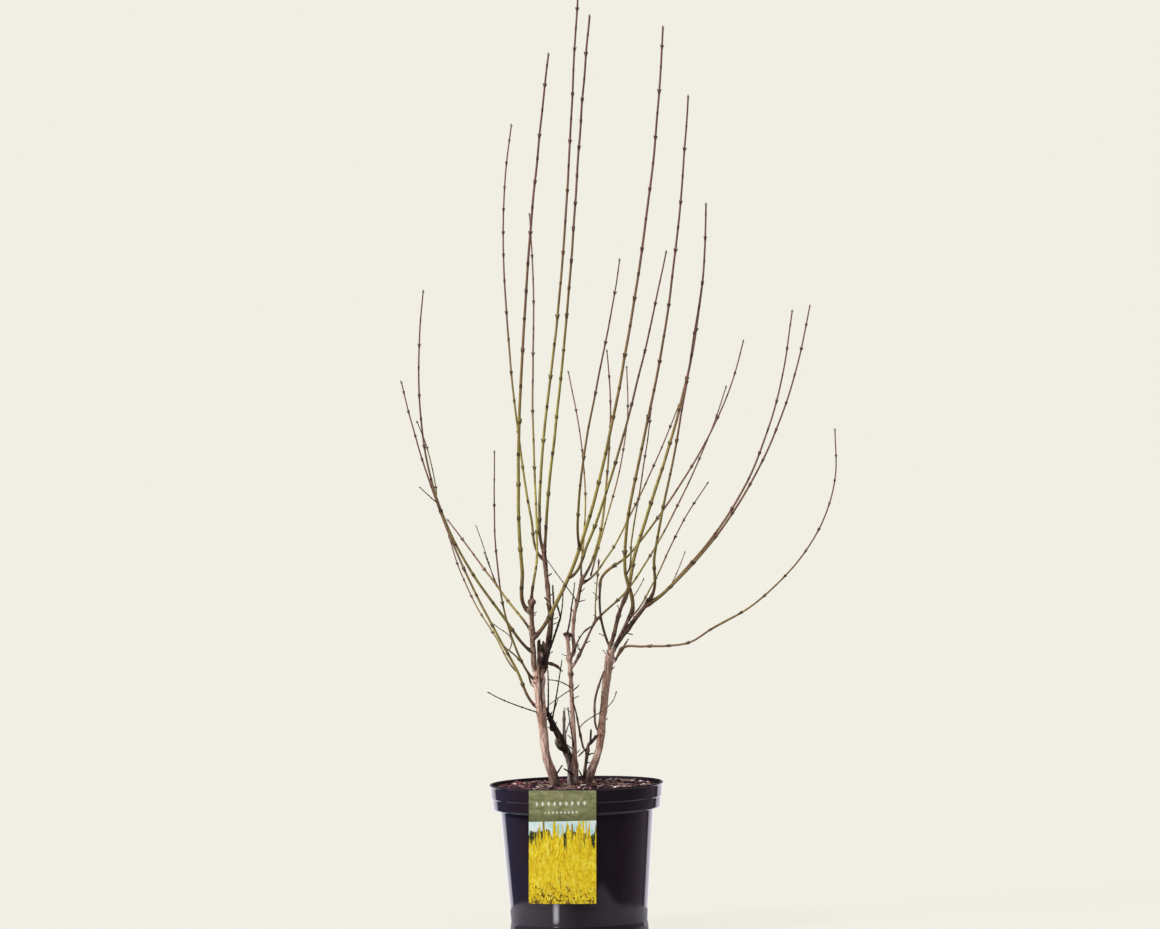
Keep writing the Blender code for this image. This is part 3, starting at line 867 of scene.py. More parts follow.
def fuse(parts, voxel):
    """One closed skin round overlapping limbs, with the crotches rounded."""
    skin = joined(parts)
    mesh = bpy.data.meshes.new("raw_wood")
    skin.to_mesh(mesh)
    skin.free()
    raw = bpy.data.objects.new("raw_wood", mesh)
    bpy.context.scene.collection.objects.link(raw)
    remesh = raw.modifiers.new("Fuse", "REMESH")
    remesh.mode = "VOXEL"
    remesh.voxel_size = voxel
    view = bpy.context.evaluated_depsgraph_get()
    fused = bmesh.new()
    fused.from_object(raw, view)
    bpy.data.objects.remove(raw)
    bpy.data.meshes.remove(mesh)
    for _ in range(3):
        bmesh.ops.smooth_vert(fused, verts=fused.verts, factor=0.5,
                              use_axis_x=True, use_axis_y=True, use_axis_z=True)
    return fused


def bark_relief(out, along, girth, seed, deadness):
    """How far the bark stands from its mean surface, and how deep in a furrow it is, for
    painted shade.
    """
    round_scale = 230.0 * girth
    spot = Vector((out.x * round_scale, out.y * round_scale, along * 38.0 + seed))
    furrow = max(0.0, 1.0 - 3.2 * abs(noise.noise(spot)))
    fine = max(0.0, 1.0 - 3.0 * abs(noise.noise(spot * 2.3)))
    lump = noise.noise(Vector((out.x, out.y, along * 30.0 + seed * 1.7)))
    knot = noise.noise(Vector((out.x * 1.6, out.y * 1.6, along * 75.0 + seed * 2.9)))
    depth = min(0.62 * MM, 0.085 * girth)
    push = girth * ((0.10 + 0.12 * deadness) * lump + (0.06 + 0.10 * deadness) * knot)
    push -= depth * (furrow ** 1.5 + 0.45 * fine)
    ring = math.sin(along * 430.0 + 5.0 * lump + 1.5 * out.x)
    push += 0.45 * depth * max(0.0, ring - 0.80) * 5.0
    # The second value is painted shade in the furrows.
    return push, min(1.0, 0.85 * furrow ** 1.5 + 0.35 * fine)


DARK_FOOT_TOP = 0.284            # the stems are darker below this height
DARK_FOOT_REACH = 34 * MM


def tone_at(member, limb, i, carriers):
    """Paleness and darkness at a station, passing over from the carrier's tone."""
    height = limb.points[i].z
    pale, dark = BARK_TONES.get(member, PLAIN_TONE)
    swell = knuckle_swelling(member, height)
    if carriers[member] is None:
        foot_darkening = clamp((DARK_FOOT_TOP - height) / DARK_FOOT_REACH)
        return pale, min(1.0, dark + 0.62 * foot_darkening + 0.40 * min(0.6, abs(swell)))
    base_pale, base_dark = BARK_TONES.get(carriers[member], PLAIN_TONE)
    share = clamp((limb.along[i] + 3 * MM) / (14 * MM))
    share = share * share * (3 - 2 * share)
    pale = base_pale + (pale - base_pale) * share
    dark = base_dark + (dark - base_dark) * share
    return pale, min(1.0, dark + 0.45 * swell)


def gather_wood(members, limbs, carriers):
    """The tubes of a trunk's limbs, its burls, and the collars of the whips it carries.
    Returns them, the limbs' stations with their tones, and the burls' places."""
    parts = []
    stations = []
    for seed, member in enumerate(members):
        limb = limbs[member]
        if member in BROKEN:
            tube = bend_tube(limb, 16)
            break_end(tube, limb, seed + 1)
        else:
            tube = bend_tube(limb, 16, lambda i, turn, limb=limb: rounded_tip(limb, i))
        parts.append(tube)
        stations.extend((limb, i, *tone_at(member, limb, i, carriers))
                        for i in range(len(limb.points)))
    lumps = []
    for seed, (member, height, heading, girth, reach, darkness) in enumerate(BURLS):
        if member in members:
            lump = burl(limbs[member], height, heading, girth, reach, seed)
            centre = sum((v.co for v in lump.verts), Vector()) / len(lump.verts)
            lumps.append((centre, girth * MM, reach * MM, darkness))
            parts.append(lump)
    for child, carrier in carriers.items():
        if carrier in members and child not in OLD_WOOD:
            parts.append(bend_tube(collar_of(limbs[child]), 12))
    return parts, stations, lumps


def tree_of(stations):
    tree = KDTree(len(stations))
    for number, (limb, i, _, _) in enumerate(stations):
        tree.insert(limb.points[i], number)
    tree.balance()
    return tree


def make_old_wood(name, members, limbs, carriers, voxel, material):
    """A trunk in one skin, with relief in its bark and marks for its colours."""
    parts, stations, lumps = gather_wood(members, limbs, carriers)
    wood = fuse(parts, voxel)
    tree = tree_of(stations)
    marks = {mark: wood.verts.layers.float.new(mark)
             for mark in ("paleness", "deadness", "bareness", "furrow")}
    wood.normal_update()
    pushes = []
    for vert in wood.verts:
        near = [stations[n] for _, n, _ in tree.find_n(vert.co, 6)]
        limb, i = near[0][:2]
        out = vert.co - limb.points[i]
        around = Vector((out.dot(limb.across[i]), out.dot(limb.over[i]), 0.0)).normalized()
        dead = sum(station[3] for station in near) / len(near)
        dead = max([dead] + [lump_darkness(vert.co, lump) for lump in lumps])
        push, furrow = bark_relief(around, limb.points[i].z, limb.girths[i],
                                   limb.points[0].x * 90, dead)
        groove = flute(name, out, vert.co.z)
        pushes.append(vert.normal * (push - groove * 1.3 * MM))
        blotch = noise.noise(vert.co * 70.0)
        # Painted shade: darker in the furrows, deeper on dead wood, and along the flute's
        # seam.
        vert[marks["furrow"]] = min(1.0, furrow * (0.55 + 0.45 * dead) + 0.8 * groove)
        vert[marks["paleness"]] = sum(station[2] for station in near) / len(near)
        vert[marks["deadness"]] = clamp(dead + 0.9 * dead * blotch)
        if name in ("dead_trunk", "left_trunk"):
            vert[marks["bareness"]] = bare_wood(vert.co, lumps[0], name)
    for vert, push in zip(wood.verts, pushes):
        vert.co += push
    add_piece(name, wood, [material], members)


def lump_darkness(point, lump):
    centre, girth, reach, darkness = lump
    off = point - centre
    near = (off.x / girth) ** 2 + (off.y / girth) ** 2 + (off.z / reach) ** 2
    return darkness * clamp(2.4 - 1.2 * near)


def bare_wood(point, lump, trunk):
    """Bark is lost on the outer side of the dead stem's burl and from the front of the
    stump in the left fork."""
    centre, girth = lump[:2]
    off = point - centre
    if trunk == "left_trunk":
        off -= Vector((2.0, 0.0, 3.0)) * MM
        near = 1.0 - (off.x / (2.4 * MM)) ** 2 - (off.z / (5.0 * MM)) ** 2
        return clamp(2.0 * near) if off.y < 0.0 else 0.0
    near = 1.0 - (off.length / (1.9 * girth)) ** 2
    return clamp(1.6 * near * (0.3 - off.x / girth))


FLUTE_FOOT = 0.345
FLUTE_TOP = 0.435
FLUTE_HEADING = math.radians(-68)


def flute(name, out, height):
    """The long seam down the front of the left stem, where two old shoots have fused; its dark
    line is painted shadow.
    """
    if name != "left_trunk" or not FLUTE_FOOT < height < FLUTE_TOP:
        return 0.0
    heading = math.atan2(out.y, out.x) - FLUTE_HEADING
    fade = min(1.0, (height - FLUTE_FOOT) / (20 * MM), (FLUTE_TOP - height) / (10 * MM))
    return hump(heading, 0.20) * fade


# Whips and their buds

def bud_pairs(limb, seed):
    """(distance, turn) of each bud pair, a quarter turn from pair to pair, and closer
    together towards the tip."""
    chance = random.Random(seed)
    pairs = []
    distance = chance.uniform(0.5, 0.9) * NODE_GAP_LOW
    turn = chance.uniform(-0.5, 0.5) + chance.choice((0.0, math.pi / 2))
    while distance < limb.length - LAST_INTERNODE:
        pairs.append((distance, turn))
        share = distance / limb.length
        gap = NODE_GAP_LOW + (NODE_GAP_HIGH - NODE_GAP_LOW) * share
        gap *= min(1.0, 0.55 + limb.length / 1.1)
        distance += gap * chance.uniform(0.86, 1.14)
        turn += math.pi / 2 + chance.uniform(-0.16, 0.16)
    return pairs


NODE_REACH = 2.3 * MM        # of the swelling at a pair of buds
YELLOWEST = 0.22             # share of a whip's length where it is most yellow
YELLOW_REACH = 0.20
BROWN_FOOT = 45 * MM         # a whip's foot has old brown bark up to here
COLLAR_REACH = 16 * MM       # and is darkest within this


def make_whip(node, limb, pairs, tone, material):
    """One young shoot with its collar, ribs, node swellings and blunt tip."""
    nodes = [0.0] * len(limb.points)
    turns = [0.0] * len(limb.points)
    for distance, turn in pairs:
        for i, along in enumerate(limb.along):
            near = hump(along - distance, NODE_REACH)
            if near > nodes[i]:
                nodes[i] = near
                turns[i] = turn

    def swelling(i, turn):
        bulge = nodes[i] * (0.10 + 0.38 * math.cos(turn - turns[i]) ** 2)
        ribs = 0.03 * math.cos(4 * (turn - turns[i]))
        return (1.0 + bulge + ribs) * foot_flare(limb, i) * rounded_tip(limb, i)

    shares = [clamp(along / limb.length) for along in limb.along]
    brown = 1.6 * max(0.0, 0.2 - tone)
    marks = {
        "height_share": [brown + share * (0.5 + min(0.5, limb.length) - brown)
                         for share in shares],
        "yellowness": [tone * hump(share - YELLOWEST, YELLOW_REACH) * clamp(along / BROWN_FOOT)
                       for share, along in zip(shares, limb.along)],
        "node": [max(0.75 * near, 0.55 * hump(max(0.0, along), COLLAR_REACH))
                 for near, along in zip(nodes, limb.along)],
    }
    bm = bend_tube(limb, WHIP_SIDES, swelling, marks)
    add_piece(node + "_bark", bm, [material], [node])


def add_bud(bm, base, head, out, length, width, tint):
    """A pointed bud of two dozen faces, pressed against its shoot."""
    side = head.cross(out).normalized()
    face = side.cross(head)
    made = bmesh.ops.create_uvsphere(bm, u_segments=6, v_segments=5, radius=1.0)["verts"]
    for vert in made:
        rise = (vert.co.z + 1.0) / 2
        plump = (1.25 - 0.75 * rise) * width / 2
        bend = 0.18 * length * rise * rise
        vert.co = (base + head * (rise * length) + side * (vert.co.x * plump)
                   + face * (vert.co.y * plump * 0.85 - bend))
    for face in {face for vert in made for face in vert.link_faces}:
        face.material_index = tint


def bud_on_side(bm, limb, i, turn, size, chance):
    out = limb.outward(i, turn)
    lean = BUD_LEAN * chance.uniform(0.75, 1.35)
    head = limb.heads[i] * math.cos(lean) + out * math.sin(lean)
    base = limb.points[i] + out * (limb.girths[i] * 0.80)
    add_bud(bm, base, head, out, size, size * 0.46, chance.choice((0, 0, 1, 1, 2)))


def bud_on_tip(bm, limb, sunk, length, width, tint):
    """The bud that ends a shoot, sunk a little into it."""
    head = limb.heads[-1]
    base = limb.points[-1] - head * sunk
    add_bud(bm, base, head, limb.outward(-1, 0.0), length, width, tint)


def whip_buds(limb, pairs, seed):
    """All the buds of a whip, in a mesh of their own."""
    chance = random.Random(seed + 500)
    bm = bmesh.new()
    for distance, turn in pairs:
        i = limb.station(distance)
        size = (3.6 * MM + 0.55 * limb.girths[i]) * chance.uniform(0.85, 1.2)
        for side in (0.0, math.pi):
            bud_on_side(bm, limb, i, turn + side, size, chance)
            if limb.girths[i] > 1.9 * MM and chance.random() < 0.35:
                aside = turn + side + chance.choice((-0.6, 0.6))
                bud_on_side(bm, limb, i, aside, size * 0.75, chance)
    bud_on_tip(bm, limb, 0.8 * MM, 4.2 * MM, 2.1 * MM, 1)
    for side in (0.4, 0.4 + math.pi):
        bud_on_side(bm, limb, limb.station(limb.length - 2.5 * MM), side, 3.0 * MM, chance)
    return bm


# Twigs, too thin for solids of their own

TWIGS = [
    # name, carrier, height of its foot, tip, bow and sway (mm), girths at foot and tip (mm)
    ("dark_fork", "inner_bough", 0.436, (-0.0187, -0.020, 0.5084), (0.8, 0.0), (2.0, 1.6)),
    ("dark_fork_left", "dark_fork", 0.506, (-0.0262, -0.018, 0.5325), (0, 0), (1.5, 1.2)),
    ("dark_fork_tip", "dark_fork", 0.507, (-0.0146, -0.026, 0.5501), (1.2, 0), (1.1, 0.8)),
    ("pale_twig", "middle_bough", 0.5276, (-0.0401, -0.030, 0.6010), (0, 0.5), (0.9, 0.6)),
    ("dead_riser", "old_stem", 0.338, (-0.0185, -0.022, 0.4394), (0.2, 0.0), (1.3, 0.8)),
    ("dead_riser_2", "old_stem", 0.341, (-0.0262, -0.028, 0.3763), (0, 0), (0.9, 0.7)),
    ("stub_twig", "old_stub", 0.3124, (-0.0079, -0.026, 0.3401), (-0.7, 0), (1.0, 0.7)),
    ("cross_twig", "middle_stem", 0.391, (-0.0401, -0.020, 0.4065), (3.4, 0), (1.0, 0.7)),
    ("down_twig", "middle_stem", 0.3875, (-0.0425, -0.030, 0.3655), (0.8, 0), (0.9, 0.6)),
    ("bow_twig", "sprout_left", 0.3283, (0.0664, -0.050, 0.3850), (4.6, -3.4), (0.9, 0.7)),
    ("red_nub", "inner_bough", 0.4345, (-0.0235, -0.032, 0.4262), (-2.0, 0), (2.9, 2.4)),
    ("nub_tip", "red_nub", 0.4285, (-0.0195, -0.034, 0.4215), (0, 0), (1.9, 1.5)),
    ("t_twig", "middle_stem", 0.4790, (-0.0016, -0.020, 0.5230), (1.2, 0), (1.5, 1.2)),
    ("t_twig_tip", "t_twig", 0.5200, (0.0040, -0.018, 0.5600), (0.5, 0), (1.1, 0.8)),
    ("sprout_spur", "sprout", 0.2975, (0.0037, -0.055, 0.2848), (0.6, 0), (1.3, 1.1)),
    ("sprout_peg", "sprout_right", 0.305, (0.0253, -0.045, 0.3282), (0, 0), (1.8, 1.6)),
    ("beside_bough", "middle_bough", 0.522, (0.0146, 0.062, 0.5670), (-0.6, 0), (1.0, 0.8)),
    ("left_sprig_1", "whip_l8", 0.561, (-0.1511, -0.020, 0.6550), (1.0, 0.0), (0.8, 0.6)),
    ("left_sprig_2", "whip_l8", 0.553, (-0.1411, 0.060, 0.6106), (-0.7, 0), (0.8, 0.6)),
    ("left_side_twig", "whip_l5", 0.692, (-0.2355, -0.105, 0.7184), (-0.4, 0), (0.9, 0.7)),
    ("crooked_twig", "whip_l10", 0.4568, (-0.1237, -0.060, 0.4979), (11.0, 3.0), (0.9, 0.6)),
    ("low_twig", "left_stem", 0.3537, (-0.1349, -0.090, 0.3916), (-2.2, 0.5), (1.1, 0.8)),
    ("right_sprig", "whip_r8", 0.5527, (0.1831, 0.045, 0.6038), (1.0, 0), (0.8, 0.6)),
    ("fork_sprig", "whip_r1", 0.5349, (0.1138, -0.070, 0.5654), (0.8, 0), (0.8, 0.6)),
    ("old_riser", "old_stem", 0.352, (-0.0415, -0.024, 0.4240), (0.8, 0), (1.4, 0.9)),
    ("thin_riser", "middle_stem", 0.292, (-0.0110, -0.030, 0.3640), (-0.6, 0), (1.1, 0.8)),
    ("foot_stub_1", "left_stem", 0.250, (-0.0215, -0.050, 0.2720), (0, 0), (1.6, 1.1)),
    ("foot_stub_2", "middle_stem", 0.252, (-0.0195, -0.045, 0.2660), (0, 0), (1.5, 1.1)),
    ("foot_stub_3", "sprout", 0.246, (0.0050, -0.062, 0.2640), (0, 0), (1.5, 1.0)),
    ("knot_twig", "low_whip_foot", 0.449, (0.0877, -0.012, 0.4674), (0, 0), (1.4, 1.2)),
]
DARK_TWIGS = ("dark_fork", "dark_fork_left", "dark_fork_tip", "dead_riser", "dead_riser_2",
              "stub_twig", "sprout_spur", "sprout_peg", "old_riser", "thin_riser",
              "foot_stub_1", "foot_stub_2", "foot_stub_3")
KNOBBED_TWIGS = ("low_twig", "right_sprig", "left_side_twig", "bow_twig", "fork_sprig")
SWAY_SCALE = 32.0 / 3.0      # gives the full sway a quarter of the way along

WHIP_TONES = {
    # how yellow a whip is low down, where it stands out from the rest
    "low_whip": 0.0, "low_whip_foot": 0.0, "low_whip_rise": 0.05,
    "whip_l5": 0.40, "whip_l6": 0.35, "whip_l7": 0.30, "whip_l8": 0.30, "whip_l10": 0.25,
    "whip_l2": 0.80, "whip_t2": 0.75, "whip_r8": 0.0, "whip_r9": 0.05,
}

SPURS = {
    "left_bough": 6, "inner_bough": 5, "tall_bough": 4, "middle_stem": 11,
    "middle_bough": 8, "fork_outer": 3, "fork_inner": 3, "right_stem": 8,
    "fork_bough_1": 3, "fork_bough_2": 5, "fork_bough_3": 3, "fork_bough_4": 5,
    "old_stem": 5, "sprout": 4, "left_stem": 4, "riser": 2,
}


def bowed_knots(foot, tip, bend, girths, count=8):
    """Knots of a twig that bows and sways in the plane facing the viewer."""
    bow, sway = (value * MM for value in bend)
    chord = tip - foot
    sideways = Vector((chord.z, 0.0, -chord.x)).normalized()
    knots = []
    for k in range(count + 1):
        t = k / count
        offset = bow * 4 * t * (1 - t) + sway * SWAY_SCALE * t * (1 - t) * (1 - 2 * t)
        point = foot + chord * t + sideways * offset
        girth = (girths[0] + (girths[1] - girths[0]) * t) * MM
        knots.append(Vector((*point, girth)))
    return knots


def twig_swelling(limb, chance):
    """Old leaf joints show as slight rings every centimetre or two."""
    pitch = chance.uniform(9, 14) * MM
    phase = chance.uniform(0.0, pitch)

    def swelling(i, turn):
        off = (limb.along[i] + phase + pitch / 2) % pitch - pitch / 2
        return (1.0 + 0.30 * hump(off, 1.3 * MM)) * rounded_tip(limb, i)

    return swelling


def make_twigs(limbs, live_bark, dead_bark):
    """The twigs and spurs of the old wood. Returns their buds."""
    chance = random.Random(31)
    bud_bm = bmesh.new()
    live = []
    dead = []
    for name, carrier, height, tip, bend, girths in TWIGS:
        holder = limbs[carrier]
        foot = holder.points[holder.at_height(height)]
        knots = bowed_knots(foot, Vector(tip), bend, girths)
        limb = Limb(knots, foot, 0.5 * MM, len(name))
        limbs[name] = limb
        bm = bend_tube(limb, TWIG_SIDES, twig_swelling(limb, chance))
        if name in DARK_TWIGS:
            dead.append(bm)
            continue
        live.append(bm)
        size = 4.6 * MM if name in KNOBBED_TWIGS else 3.4 * MM
        bud_on_tip(bud_bm, limb, MM, size, size * 0.62, 1)
        for share in (0.35, 0.68, 0.97):
            i = limb.station(limb.length * share)
            for side in (0.0, math.pi):
                bud_on_side(bud_bm, limb, i, side + share * 2, 2.6 * MM, chance)
    for carrier, count in SPURS.items():
        for _ in range(count):
            spur = short_spur(limbs[carrier], chance)
            bm = bend_tube(spur, 6, twig_swelling(spur, chance))
            if carrier in ("old_stem", "sprout") or chance.random() < 0.4:
                dead.append(bm)
                continue
            live.append(bm)
            bud_on_tip(bud_bm, spur, MM, 3.4 * MM, 2.2 * MM, chance.choice((0, 1)))
    add_piece("twigs", joined(live), [live_bark])
    add_piece("dead_twigs", joined(dead), [dead_bark])
    return bud_bm


def short_spur(holder, chance):
    """A stubby side growth that leaves its holder's bark and turns upward."""
    i = chance.randrange(len(holder.points) // 6, len(holder.points) - 2)
    out = holder.outward(i, chance.uniform(-math.pi, math.pi))
    foot = holder.points[i]
    reach = holder.girths[i] + chance.uniform(3.5, 13.0) * MM
    rise = (out * chance.uniform(0.6, 1.0) + UP * chance.uniform(0.25, 0.9)).normalized()
    tip = foot + rise * reach
    girth = chance.uniform(0.7, 1.25)
    bend = (chance.uniform(-1.0, 1.0), 0.0)
    return Limb(bowed_knots(foot, tip, bend, (girth, girth * 0.75), 4), foot)


# Pot, turned about Z

def spin_profile(profile, steps):
    """A closed skin from (radius, height) points that start and end on the axis."""
    bm = bmesh.new()
    verts = [bm.verts.new((radius, 0.0, height)) for radius, height in profile]
    edges = [bm.edges.new(pair) for pair in zip(verts, verts[1:])]
    bmesh.ops.spin(bm, geom=verts + edges, cent=(0, 0, 0), axis=(0, 0, 1),
                   angle=2 * math.pi, steps=steps, use_merge=True, use_duplicate=False)
    bmesh.ops.remove_doubles(bm, verts=bm.verts, dist=WELD)
    bmesh.ops.recalc_face_normals(bm, faces=bm.faces)
    return bm


def round_edges(bm, width, segments, angle):
    """Rounds every edge that turns by more than an angle."""
    turn = math.radians(angle)
    crisp = [e for e in bm.edges if len(e.link_faces) == 2 and e.calc_face_angle() > turn]
    bmesh.ops.bevel(bm, geom=crisp, offset=width, offset_type="OFFSET", segments=segments,
                    profile=0.5, affect="EDGES", material=-1, clamp_overlap=True)


def held(profile, margin):
    """The profile with a point near both ends of each long run, which keeps a wall's
    shading straight between its edges."""
    points = [profile[0]]
    for low, high in zip(profile, profile[1:]):
        run = math.dist(low, high)
        if run > 6 * margin:
            for share in (margin / run, 1.0 - margin / run):
                points.append(tuple(a + (b - a) * share for a, b in zip(low, high)))
        points.append(high)
    return points


def make_pot(material):
    """Radii and heights up the inside, over the lip, down its collar and wall, and round
    the bead of the foot to the hollow underside."""
    profile = [
        (0.0, 3.0 * MM),
        (0.1054, 3.0 * MM),
        (0.1206, LIP - 42.5 * MM),
        (0.1319, LIP - 37.3 * MM),
        (0.1333, LIP - 24.7 * MM),
        (0.1350, LIP - 20.3 * MM),
        (0.1360, LIP - 0.9 * MM),
        (0.1367, LIP - 0.2 * MM),
        (0.1376, LIP),
        (0.1388, LIP - 0.3 * MM),
        (0.1396, LIP - 0.9 * MM),
        (LIP_RADIUS, LIP - 2.0 * MM),
        (LIP_RADIUS - 0.4 * MM, LIP - 2.9 * MM),
        (0.1388, LIP - 3.2 * MM),
        (0.1383, LIP - 4.5 * MM),
        (0.1372, LIP - 21.9 * MM),
        (0.1357, LIP - 23.6 * MM),
        (0.1343, LIP - 38.9 * MM),
        (0.1332, LIP - 40.6 * MM),
        (0.1238, LIP - 41.6 * MM),
        (0.1227, LIP - 43.5 * MM),
        (0.1092, 19 * MM),
        (0.1104, 12 * MM),
        (0.1110, 3.0 * MM),
        (0.1104, 0.0),
        (0.1010, 0.0),
        (0.0995, 1.6 * MM),
        (0.0, 1.6 * MM),
    ]
    bm = spin_profile(held(profile, 1.3 * MM), 192)
    round_edges(bm, 0.75 * MM, 3, 20)
    add_piece("nursery_pot", bm, [material], ["pot"], sharp=50)


# Compost

COMPOST_RINGS = 46
CHIPS = 1500
HANDFULS = 15                # chips are made in small meshes, which is quicker
SPLINTERS = 110


def compost_height(x, y):
    """Lumpy top of the compost, lower at the wall and heaped a little at the crown."""
    radius = math.hypot(x, y)
    share = min(1.0, radius / COMPOST_RADIUS)
    fall = 2.0 * MM * max(0.0, (share - 0.5) / 0.5) ** 1.3
    lumps = 2.0 * MM * noise.noise(Vector((x * 42, y * 42, 3.0)))
    crumbs = 0.9 * MM * noise.noise(Vector((x * 160, y * 160, 9.0)))
    return COMPOST_HIGH.z + 0.6 * MM - fall + lumps + crumbs


def make_compost(material):
    """The surface is a lumpy disc, and the rest of the fill is a plain body under it."""
    radius = COMPOST_RADIUS - 0.3 * MM
    top = [(radius * k / COMPOST_RINGS, COMPOST_HIGH.z) for k in range(COMPOST_RINGS + 1)]
    body = [(0.1328, LIP - 25 * MM), (0.1312, LIP - 38 * MM), (0.1198, LIP - 43 * MM),
            (0.1046, 3.6 * MM), (0.0, 3.6 * MM)]
    bm = spin_profile(top + body, 132)
    for vert in bm.verts:
        if vert.co.z > COMPOST_HIGH.z - WELD:
            vert.co.z = compost_height(vert.co.x, vert.co.y)
    add_piece("bark_compost", bm, [material], ["compost"])


def make_chips(materials):
    """Bark chips and crumbs lying on the compost, redder to the left and greyer, with
    pale splinters, to the right."""
    chance = random.Random(7)
    handfuls = [bmesh.new() for _ in range(HANDFULS)]
    for number in range(CHIPS):
        radius = (COMPOST_RADIUS - 5 * MM) * math.sqrt(chance.random())
        place = facing(chance.uniform(0, 2 * math.pi)) * radius
        length = chance.uniform(2.0, 5.0) * MM * chance.choice((1.0, 1.0, 1.7, 2.6))
        width = length * chance.uniform(0.35, 0.8)
        thick = min(2.2 * MM, width * chance.uniform(0.3, 0.7))
        lean = (Matrix.Rotation(chance.uniform(0, 2 * math.pi), 4, "Z")
                @ Matrix.Rotation(chance.uniform(-0.45, 0.45), 4, "X")
                @ Matrix.Rotation(chance.uniform(-0.45, 0.45), 4, "Y"))
        seat = place + UP * (compost_height(place.x, place.y) + 0.1 * thick)
        half = Vector((length, width, thick)) / 2
        made = bmesh.ops.create_icosphere(handfuls[number % HANDFULS], subdivisions=1,
                                          radius=1.0)["verts"]
        for vert in made:
            vert.co = seat + lean @ (scaled(vert.co, half) * chance.uniform(0.75, 1.15))
        tint = chip_tint(place.x, chance)
        for face in {face for vert in made for face in vert.link_faces}:
            face.material_index = tint
    add_piece("compost_chips", joined(handfuls), materials, sharp=25)


def chip_tint(x, chance):
    """0 red brown, 1 dark brown, 2 grey brown, 3 pale: the pale ones lie to the right."""
    right = 0.5 + 0.5 * x / COMPOST_RADIUS
    draw = chance.random()
    if draw < 0.03 + 0.11 * right:
        return 3
    if draw < 0.10 + 0.32 * right:
        return 2
    return 0 if chance.random() > 0.35 + 0.45 * right else 1


def make_splinters(material):
    """Straw-like fibres and fine dead roots strewn over the compost."""
    chance = random.Random(19)
    parts = []
    strewn = COMPOST_RADIUS * 0.93
    for _ in range(SPLINTERS):
        x = strewn * chance.triangular(-1, 1, 0.45)
        room = math.sqrt(max(0.0, strewn ** 2 - x * x))
        middle = Vector((x, chance.uniform(-room, room), 0.0))
        turn = chance.uniform(0, math.pi)
        step = facing(turn) * chance.uniform(4.0, 13.0) * MM
        knots = []
        for k in range(-2, 3):
            bow = Vector((-step.y, step.x, 0.0)) * 0.10 * (4 - k * k) / 4
            spot = middle + step * (k / 2) + bow
            if math.hypot(spot.x, spot.y) > COMPOST_RADIUS - 2 * MM:
                break
            height = compost_height(spot.x, spot.y) + chance.uniform(0.3, 1.4) * MM
            girth = chance.uniform(0.30, 0.65) * MM
            knots.append(Vector((spot.x, spot.y, height, girth)))
        if len(knots) == 5:
            parts.append(bend_tube(Limb(knots, knots[0].xyz), 5))
    add_piece("splinters", joined(parts), [material])


# Picture card

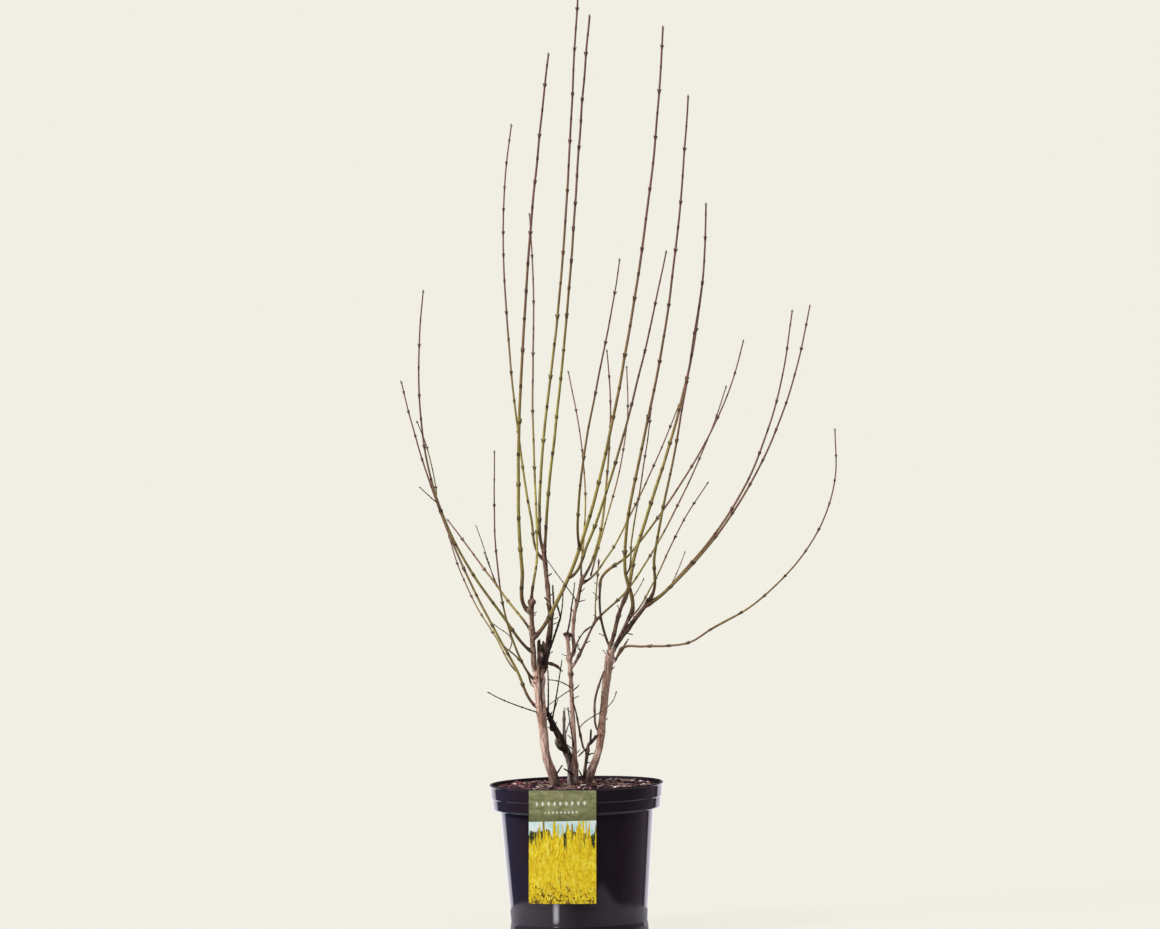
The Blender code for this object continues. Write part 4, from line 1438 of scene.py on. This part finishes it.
def make_card(front, back):
    """A thin card with small round corners, bowed back a little at its two sides."""
    width = CARD_HIGH.x - CARD_LOW.x
    height = CARD_HIGH.z - CARD_LOW.z
    middle = (CARD_LOW + CARD_HIGH) / 2
    bm = bmesh.new()
    bmesh.ops.create_cube(bm, size=1.0)
    bmesh.ops.scale(bm, verts=bm.verts, vec=(width, 0.6 * MM, height))
    corners = [e for e in bm.edges if abs(e.verts[0].co.y - e.verts[1].co.y) > 0.3 * MM]
    bmesh.ops.bevel(bm, geom=corners, offset=1.4 * MM, offset_type="OFFSET", segments=4,
                    profile=0.5, affect="EDGES", material=-1)
    for k in range(1, 16):
        plane = Vector((width * (k / 16 - 0.5), 0.0, 0.0))
        geom = bm.verts[:] + bm.edges[:] + bm.faces[:]
        bmesh.ops.bisect_plane(bm, geom=geom, plane_co=plane, plane_no=(1, 0, 0),
                               dist=WELD)
    for face in bm.faces:
        face.material_index = 0 if face.normal.y < -0.7 else 1
    for vert in bm.verts:
        across = vert.co.x / (width / 2)
        vert.co.y += 1.2 * MM * across * across - 0.4 * MM
    tilt = Matrix.Rotation(CARD_TILT, 3, "Y")
    bmesh.ops.rotate(bm, verts=bm.verts, cent=(0, 0, 0), matrix=tilt)
    bmesh.ops.translate(bm, verts=bm.verts, vec=middle)
    add_piece("printed_label", bm, [front, back], ["picture_card"], sharp=30)


def main():
    set_camera()
    set_studio()
    sun("key_sun", 3.75, 14, 204, 38)
    sun("top_sun", 0.8, 60, 290, 62)
    lay_floor()

    bark = old_bark()
    young = whip_bark()
    limbs, carriers = read_limbs()
    trunks = (
        ("left_trunk", LEFT_WOOD, 0.75, "old_bark"),
        ("middle_trunk", MIDDLE_WOOD, 0.60, "old_bark"),
        ("right_trunk", RIGHT_WOOD, 0.70, "old_bark"),
        ("dead_trunk", DEAD_WOOD, 0.60, "dead_wood"),
        ("sprout_wood", SPROUT_WOOD, 0.50, "bough_bark"),
    )
    for name, members, voxel, slot in trunks:
        make_old_wood(name, members, limbs, carriers, voxel * MM, bark)

    buds = []
    tones = random.Random(3)
    whips = sorted(name for name in limbs if name not in OLD_WOOD)
    for seed, name in enumerate(whips):
        pairs = bud_pairs(limbs[name], seed)
        tone = tones.uniform(0.1, 0.75)
        make_whip(name, limbs[name], pairs, WHIP_TONES.get(name, tone), young)
        buds.append(whip_buds(limbs[name], pairs, seed))
    buds.append(make_twigs(limbs, plain_bark("twig_bark", hue(104, 78, 62), 0.75),
                           plain_bark("dead_bark", hue(56, 44, 40), 0.85)))
    scales = [plain_bark("bud_brown", hue(78, 54, 42), 0.55),
              plain_bark("bud_red", hue(92, 56, 46), 0.50),
              plain_bark("bud_olive", hue(96, 84, 50), 0.55)]
    add_piece("buds", joined(buds), scales)

    make_pot(pot_plastic())
    make_compost(compost_earth())
    make_chips([plain_bark("chip_red", hue(116, 70, 77), 0.85),
                plain_bark("chip_dark", hue(20, 14, 17), 0.85),
                plain_bark("chip_grey", hue(124, 104, 108), 0.9),
                plain_bark("chip_pale", hue(232, 212, 206), 0.85)])
    make_splinters(plain_bark("straw", hue(166, 140, 118), 0.8))
    make_card(printed_card(), plain_bark("card_back", hue(226, 226, 214), 0.4))


main()
